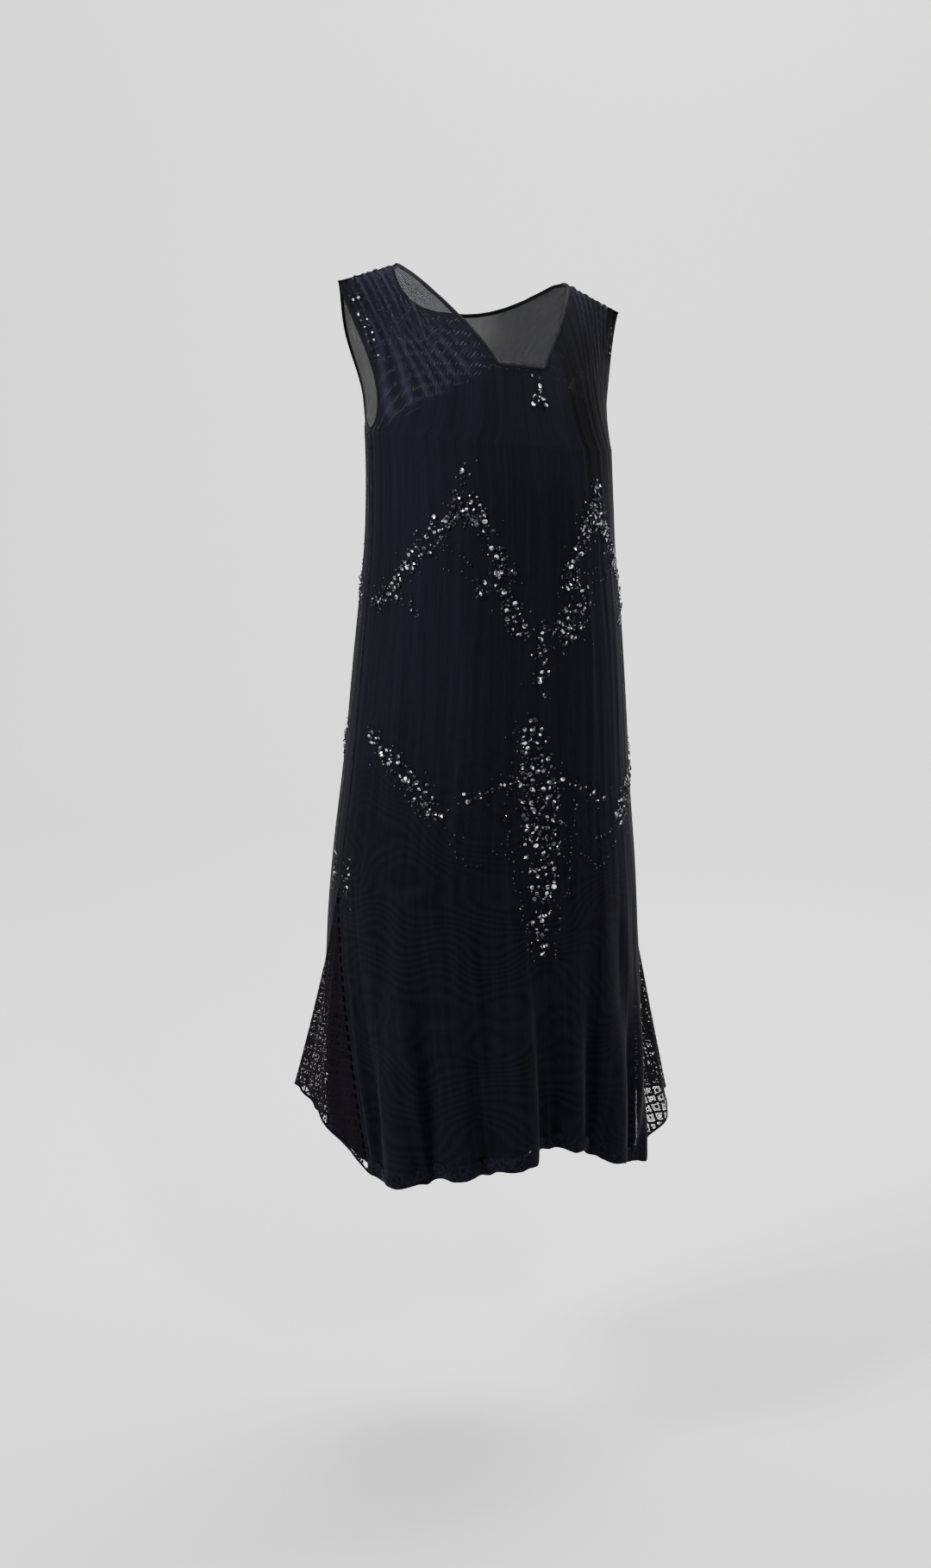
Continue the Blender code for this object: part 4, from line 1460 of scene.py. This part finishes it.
def cut_bead(radius, sides=6):
    """Two rings closed by points, so that every bead has flat sides that catch the light."""
    points = [(0, 0, -radius)]
    for height in (-0.45, 0.45):
        points += flat_ring(0.9 * radius, sides, height * radius)
    points.append((0, 0, radius))
    faces = []
    for k in range(sides):
        n = (k + 1) % sides
        faces += [(0, 1 + n, 1 + k), (1 + k, 1 + n, 1 + sides + n, 1 + sides + k)]
        faces.append((1 + sides + k, 1 + sides + n, 1 + 2 * sides))
    return small_mesh("bead shape", points, faces)


SEQUIN_RADIUS = 0.0027
SEQUIN_CUP = 0.0005
BEAD_RADIUS = 0.0012
sequin_shape = cupped_disc(SEQUIN_RADIUS, SEQUIN_CUP)
bead_shape = cut_bead(BEAD_RADIUS)
print("faces of a sequin and a bead:", len(sequin_shape.data.polygons), len(bead_shape.data.polygons))

# %% [markdown]
# ## Sewing them on with Geometry Nodes
#
# Sewing by hand gives every sequin its own small tilt. Copies could be placed one by one in Python, but a
# tree of Geometry Nodes shows the idea better and can be fed any shape: it turns the places into points,
# faces the shape outward, adds a random tilt from a fixed seed, and puts a real copy on each.

# %% Geometry Nodes: what the tree is given
sew = bpy.data.node_groups.new("sew on places", "GeometryNodeTree")
inputs = {}
for label, kind in (
    ("Places", "NodeSocketGeometry"),
    ("Shape", "NodeSocketObject"),
    ("Tilt", "NodeSocketFloat"),
    ("Seed", "NodeSocketInt"),
    ("Finish", "NodeSocketMaterial"),
):
    inputs[label] = sew.interface.new_socket(label, in_out="INPUT", socket_type=kind).identifier
sew.interface.new_socket("Sewn", in_out="OUTPUT", socket_type="NodeSocketGeometry")
given = sew.nodes.new("NodeGroupInput")
put = sew.nodes.new("NodeGroupOutput")
places_node = sew.nodes.new("GeometryNodeMeshToPoints")
sew.links.new(given.outputs["Places"], places_node.inputs["Mesh"])
shape_info = sew.nodes.new("GeometryNodeObjectInfo")
sew.links.new(given.outputs["Shape"], shape_info.inputs["Object"])
outward_node = sew.nodes.new("GeometryNodeInputNamedAttribute")
outward_node.data_type = "FLOAT_VECTOR"
outward_node.inputs["Name"].default_value = "outward"
size_node = sew.nodes.new("GeometryNodeInputNamedAttribute")
size_node.data_type = "FLOAT"
size_node.inputs["Name"].default_value = "size"
print("the tree is given", ", ".join(inputs))

# %% Geometry Nodes: face outward, with a small random tilt
facing = sew.nodes.new("FunctionNodeAlignRotationToVector")
facing.axis = "Z"
sew.links.new(outward_node.outputs["Attribute"], facing.inputs["Vector"])
most = sew.nodes.new("ShaderNodeCombineXYZ")
least = sew.nodes.new("ShaderNodeCombineXYZ")
minus = sew.nodes.new("ShaderNodeMath")
minus.operation = "MULTIPLY"
minus.inputs[1].default_value = -1.0
sew.links.new(given.outputs["Tilt"], minus.inputs[0])
for axis in ("X", "Y"):
    sew.links.new(given.outputs["Tilt"], most.inputs[axis])
    sew.links.new(minus.outputs[0], least.inputs[axis])
most.inputs["Z"].default_value = math.pi
least.inputs["Z"].default_value = -math.pi
chance = sew.nodes.new("FunctionNodeRandomValue")
chance.data_type = "FLOAT_VECTOR"
sew.links.new(least.outputs[0], chance.inputs["Min"])
sew.links.new(most.outputs[0], chance.inputs["Max"])
sew.links.new(given.outputs["Seed"], chance.inputs["Seed"])
turned = sew.nodes.new("FunctionNodeEulerToRotation")
sew.links.new(chance.outputs["Value"], turned.inputs[0])
both_turns = sew.nodes.new("FunctionNodeRotateRotation")
both_turns.rotation_space = "LOCAL"
sew.links.new(facing.outputs[0], both_turns.inputs[0])
sew.links.new(turned.outputs[0], both_turns.inputs[1])
print("so far", len(sew.nodes), "nodes")

# %% Geometry Nodes: put a real copy on each place
sewing = sew.nodes.new("GeometryNodeInstanceOnPoints")
sew.links.new(places_node.outputs[0], sewing.inputs["Points"])
sew.links.new(shape_info.outputs["Geometry"], sewing.inputs["Instance"])
sew.links.new(both_turns.outputs[0], sewing.inputs["Rotation"])
sew.links.new(size_node.outputs["Attribute"], sewing.inputs["Scale"])
real = sew.nodes.new("GeometryNodeRealizeInstances")
sew.links.new(sewing.outputs[0], real.inputs[0])
painted = sew.nodes.new("GeometryNodeSetMaterial")
sew.links.new(real.outputs[0], painted.inputs["Geometry"])
sew.links.new(given.outputs["Finish"], painted.inputs["Material"])
sew.links.new(painted.outputs[0], put.inputs[0])
print(sew.name, "has", len(sew.nodes), "nodes")


# %% A helper that sews
def sewn(name, points, outward, size, shape, tilt, seed, finish, slot):
    """One finished piece: a copy of the shape on every point, facing outward, as a plain mesh."""
    mesh = bpy.data.meshes.new(name + " places")
    mesh.from_pydata(hung(points).tolist(), [], [])
    facing = mesh.attributes.new("outward", "FLOAT_VECTOR", "POINT")
    facing.data.foreach_set("vector", outward.astype(np.float32).ravel())
    sizes = mesh.attributes.new("size", "FLOAT", "POINT")
    sizes.data.foreach_set("value", size.astype(np.float32))
    holder = bpy.data.objects.new(name + " places", mesh)
    bpy.context.scene.collection.objects.link(holder)
    modifier = holder.modifiers.new("sew on places", "NODES")
    modifier.node_group = sew
    for label, value in (("Shape", shape), ("Tilt", tilt), ("Seed", seed), ("Finish", finish)):
        modifier[inputs[label]] = value
    graph = bpy.context.evaluated_depsgraph_get()
    result = bpy.data.meshes.new_from_object(holder.evaluated_get(graph))
    result.name = name
    piece = bpy.data.objects.new(name, result)
    bpy.context.scene.collection.objects.link(piece)
    bpy.data.objects.remove(holder)
    print(name, len(result.polygons), "faces")
    return finish_piece(piece, slot)


print("seed of the tilts:", SEED)

# %% Sequins and beads, front and back
SEQUIN_LIFT = 0.0014
BEAD_LIFT = 0.0011
SEQUIN_SIZES = [0.55, 0.80, 1.00, 1.15]
ARMHOLE_SEQUIN_SIZE = 0.6
LEAST_BEAD_SIZE = 0.7
MOST_BEAD_SIZE = 1.2
SEQUIN_TILT = 0.55
BEAD_TILT = 1.2
# Offsets of the rows beside each armhole, and the heights between which they run
RIGHT_ARMHOLE_ROWS = ((0.010, 0.017), -0.100, -0.036)
LEFT_ARMHOLE_ROWS = ((0.011,), -0.075, -0.035)
for side in ("front", "back"):
    places = sequin_places + (neck_places if side == "front" else [])
    points, outward = sewn_on(side, places, SEQUIN_LIFT)
    if side == "front":
        right = armhole_rows("armhole_right", *RIGHT_ARMHOLE_ROWS)
        left = armhole_rows("armhole_left", *LEFT_ARMHOLE_ROWS)
        points = np.concatenate([points, right[0], left[0]])
        outward = np.concatenate([outward, right[1], left[1]])
    size = rng.choice(SEQUIN_SIZES, len(points))
    size[len(places):] *= ARMHOLE_SEQUIN_SIZE
    name = f"sequins_{side}"
    sequins = sewn(name, points, outward, size, sequin_shape, SEQUIN_TILT, SEED, sequin_foil, "net")
    points, outward = sewn_on(side, bead_places, BEAD_LIFT)
    size = rng.uniform(LEAST_BEAD_SIZE, MOST_BEAD_SIZE, len(points))
    name = f"beads_{side}"
    beads = sewn(name, points, outward, size, bead_shape, BEAD_TILT, SEED + 1, jet_glass, "net")
bpy.data.objects.remove(sequin_shape)
bpy.data.objects.remove(bead_shape)

# %% [markdown]
# ## The sheets' worn area
#
# A sheet of cloth has a flat size before it is sewn and worn. Here only the worn area of the sheets is
# summed and printed.

sheets = [*overdress.values(), *godet_pieces.values(), *underslip.values()]
print(f"{len(sheets)} sheets, {sum(area_of(sheet) for sheet in sheets):.2f} m2 of cloth as worn")

# %% [markdown]
# ## The floor
#
# A studio hangs a wide roll of pale paper behind the dress and lets it run forward over the floor, so that
# no line shows where the wall begins. Two planes would meet in an edge. One profile, straight, bent through
# a quarter of a circle and straight again, is carried across to make a single smooth sheet.

# %% Floor and backdrop in one sweep of paper
FLOOR_HEIGHT = -1.51
PAPER_NEAR = -7.0
PAPER_FAR = 3.4
PAPER_BEND = 1.8
PAPER_TOP = 4.5
PAPER_HALF_WIDTH = 9.0
BEND_STEPS = 24
VIEW_TURN = -27.2
view_turn = math.radians(VIEW_TURN)
away_from_camera = np.array([-math.sin(view_turn), math.cos(view_turn)])
to_the_right = np.array([away_from_camera[1], -away_from_camera[0]])
profile = [(PAPER_NEAR, FLOOR_HEIGHT), (PAPER_FAR, FLOOR_HEIGHT)]
for step in range(1, BEND_STEPS + 1):
    angle = math.pi / 2 * step / BEND_STEPS
    far = PAPER_FAR + PAPER_BEND * math.sin(angle)
    profile.append((far, FLOOR_HEIGHT + PAPER_BEND * (1 - math.cos(angle))))
profile.append((PAPER_FAR + PAPER_BEND, PAPER_TOP))
paper_points = []
for far, height in profile:
    for across in (-PAPER_HALF_WIDTH, PAPER_HALF_WIDTH):
        x, y = away_from_camera * far + to_the_right * across
        paper_points.append((x, y, height))
paper_faces = [(2 * i, 2 * i + 1, 2 * i + 3, 2 * i + 2) for i in range(len(profile) - 1)]
paper_mesh = bpy.data.meshes.new("floor")
paper_mesh.from_pydata(paper_points, [], paper_faces)
paper_mesh.shade_smooth()
floor_paint, tree, shader = new_material("floor paint", 0.85, Specular_IOR_Level=0.2)
shader.inputs["Base Color"].default_value = (0.74, 0.735, 0.73, 1)
floor = link("floor", paper_mesh, floor_paint)
floor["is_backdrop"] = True
print("the paper has", len(paper_faces), "strips")

# %% [markdown]
# ## Light
#
# Dark cloth is shaped by what it reflects. A dim, even world keeps the shade from going black. One light
# from the upper left shapes the folds, a weak one from the right opens the shade, and a small hard one in
# front makes the sequins flash. A last one whitens the paper behind.

# %% Lights
WORLD_LIGHT = 0.17
world = bpy.data.worlds.new("studio")
bpy.context.scene.world = world
world.use_nodes = True
background = world.node_tree.nodes["Background"]
background.inputs["Color"].default_value = (0.80, 0.81, 0.83, 1)
background.inputs["Strength"].default_value = WORLD_LIGHT


def area_light(name, size, power, place, aim):
    """A square light at a place, turned to face another."""
    light = bpy.data.lights.new(name, "AREA")
    light.size = size
    light.energy = power
    lamp = bpy.data.objects.new(name, light)
    bpy.context.scene.collection.objects.link(lamp)
    lamp.location = place
    lamp.rotation_euler = (Vector(aim) - Vector(place)).to_track_quat("-Z", "Y").to_euler()
    return lamp


area_light("key", 0.9, 270, (-3.1, -0.6, 2.0), (0, 0, -0.3))
area_light("fill", 1.8, 28, (2.6, -2.0, 1.7), (0, 0, -0.3))
area_light("sparkle", 0.22, 60, (-0.6, -3.3, 1.3), (0, 0, -0.4))
area_light("backdrop", 3.0, 520, (1.2, 0.6, 2.8), (2.4, 4.6, -0.6))
print("lights:", ", ".join(light.name for light in bpy.data.lights))

# %% [markdown]
# ## Camera
#
# The camera stands a little to the wearer's right, at the height of the shoulders, and looks down at the
# dress with a long lens. A shorter lens nearer by would widen the hem against the shoulders.

# %% Camera
CAMERA_PLACE = (-1.462, -2.801, 0.110)
CAMERA_PITCH = 77.1
LENS = 59.4
SENSOR_WIDTH = 36
camera_data = bpy.data.cameras.new("camera")
camera_data.lens = LENS
camera_data.sensor_width = SENSOR_WIDTH
camera = bpy.data.objects.new("camera", camera_data)
bpy.context.scene.collection.objects.link(camera)
camera.location = CAMERA_PLACE
camera.rotation_euler = (math.radians(CAMERA_PITCH), 0, math.radians(VIEW_TURN))
bpy.context.scene.camera = camera
print(f"camera {math.dist(CAMERA_PLACE, (0, 0, 0)):.2f} m from the shoulders")

# %% Sizes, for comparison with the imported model
low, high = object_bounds()
print("scene from", tuple(round(c, 3) for c in low), "to", tuple(round(c, 3) for c in high))
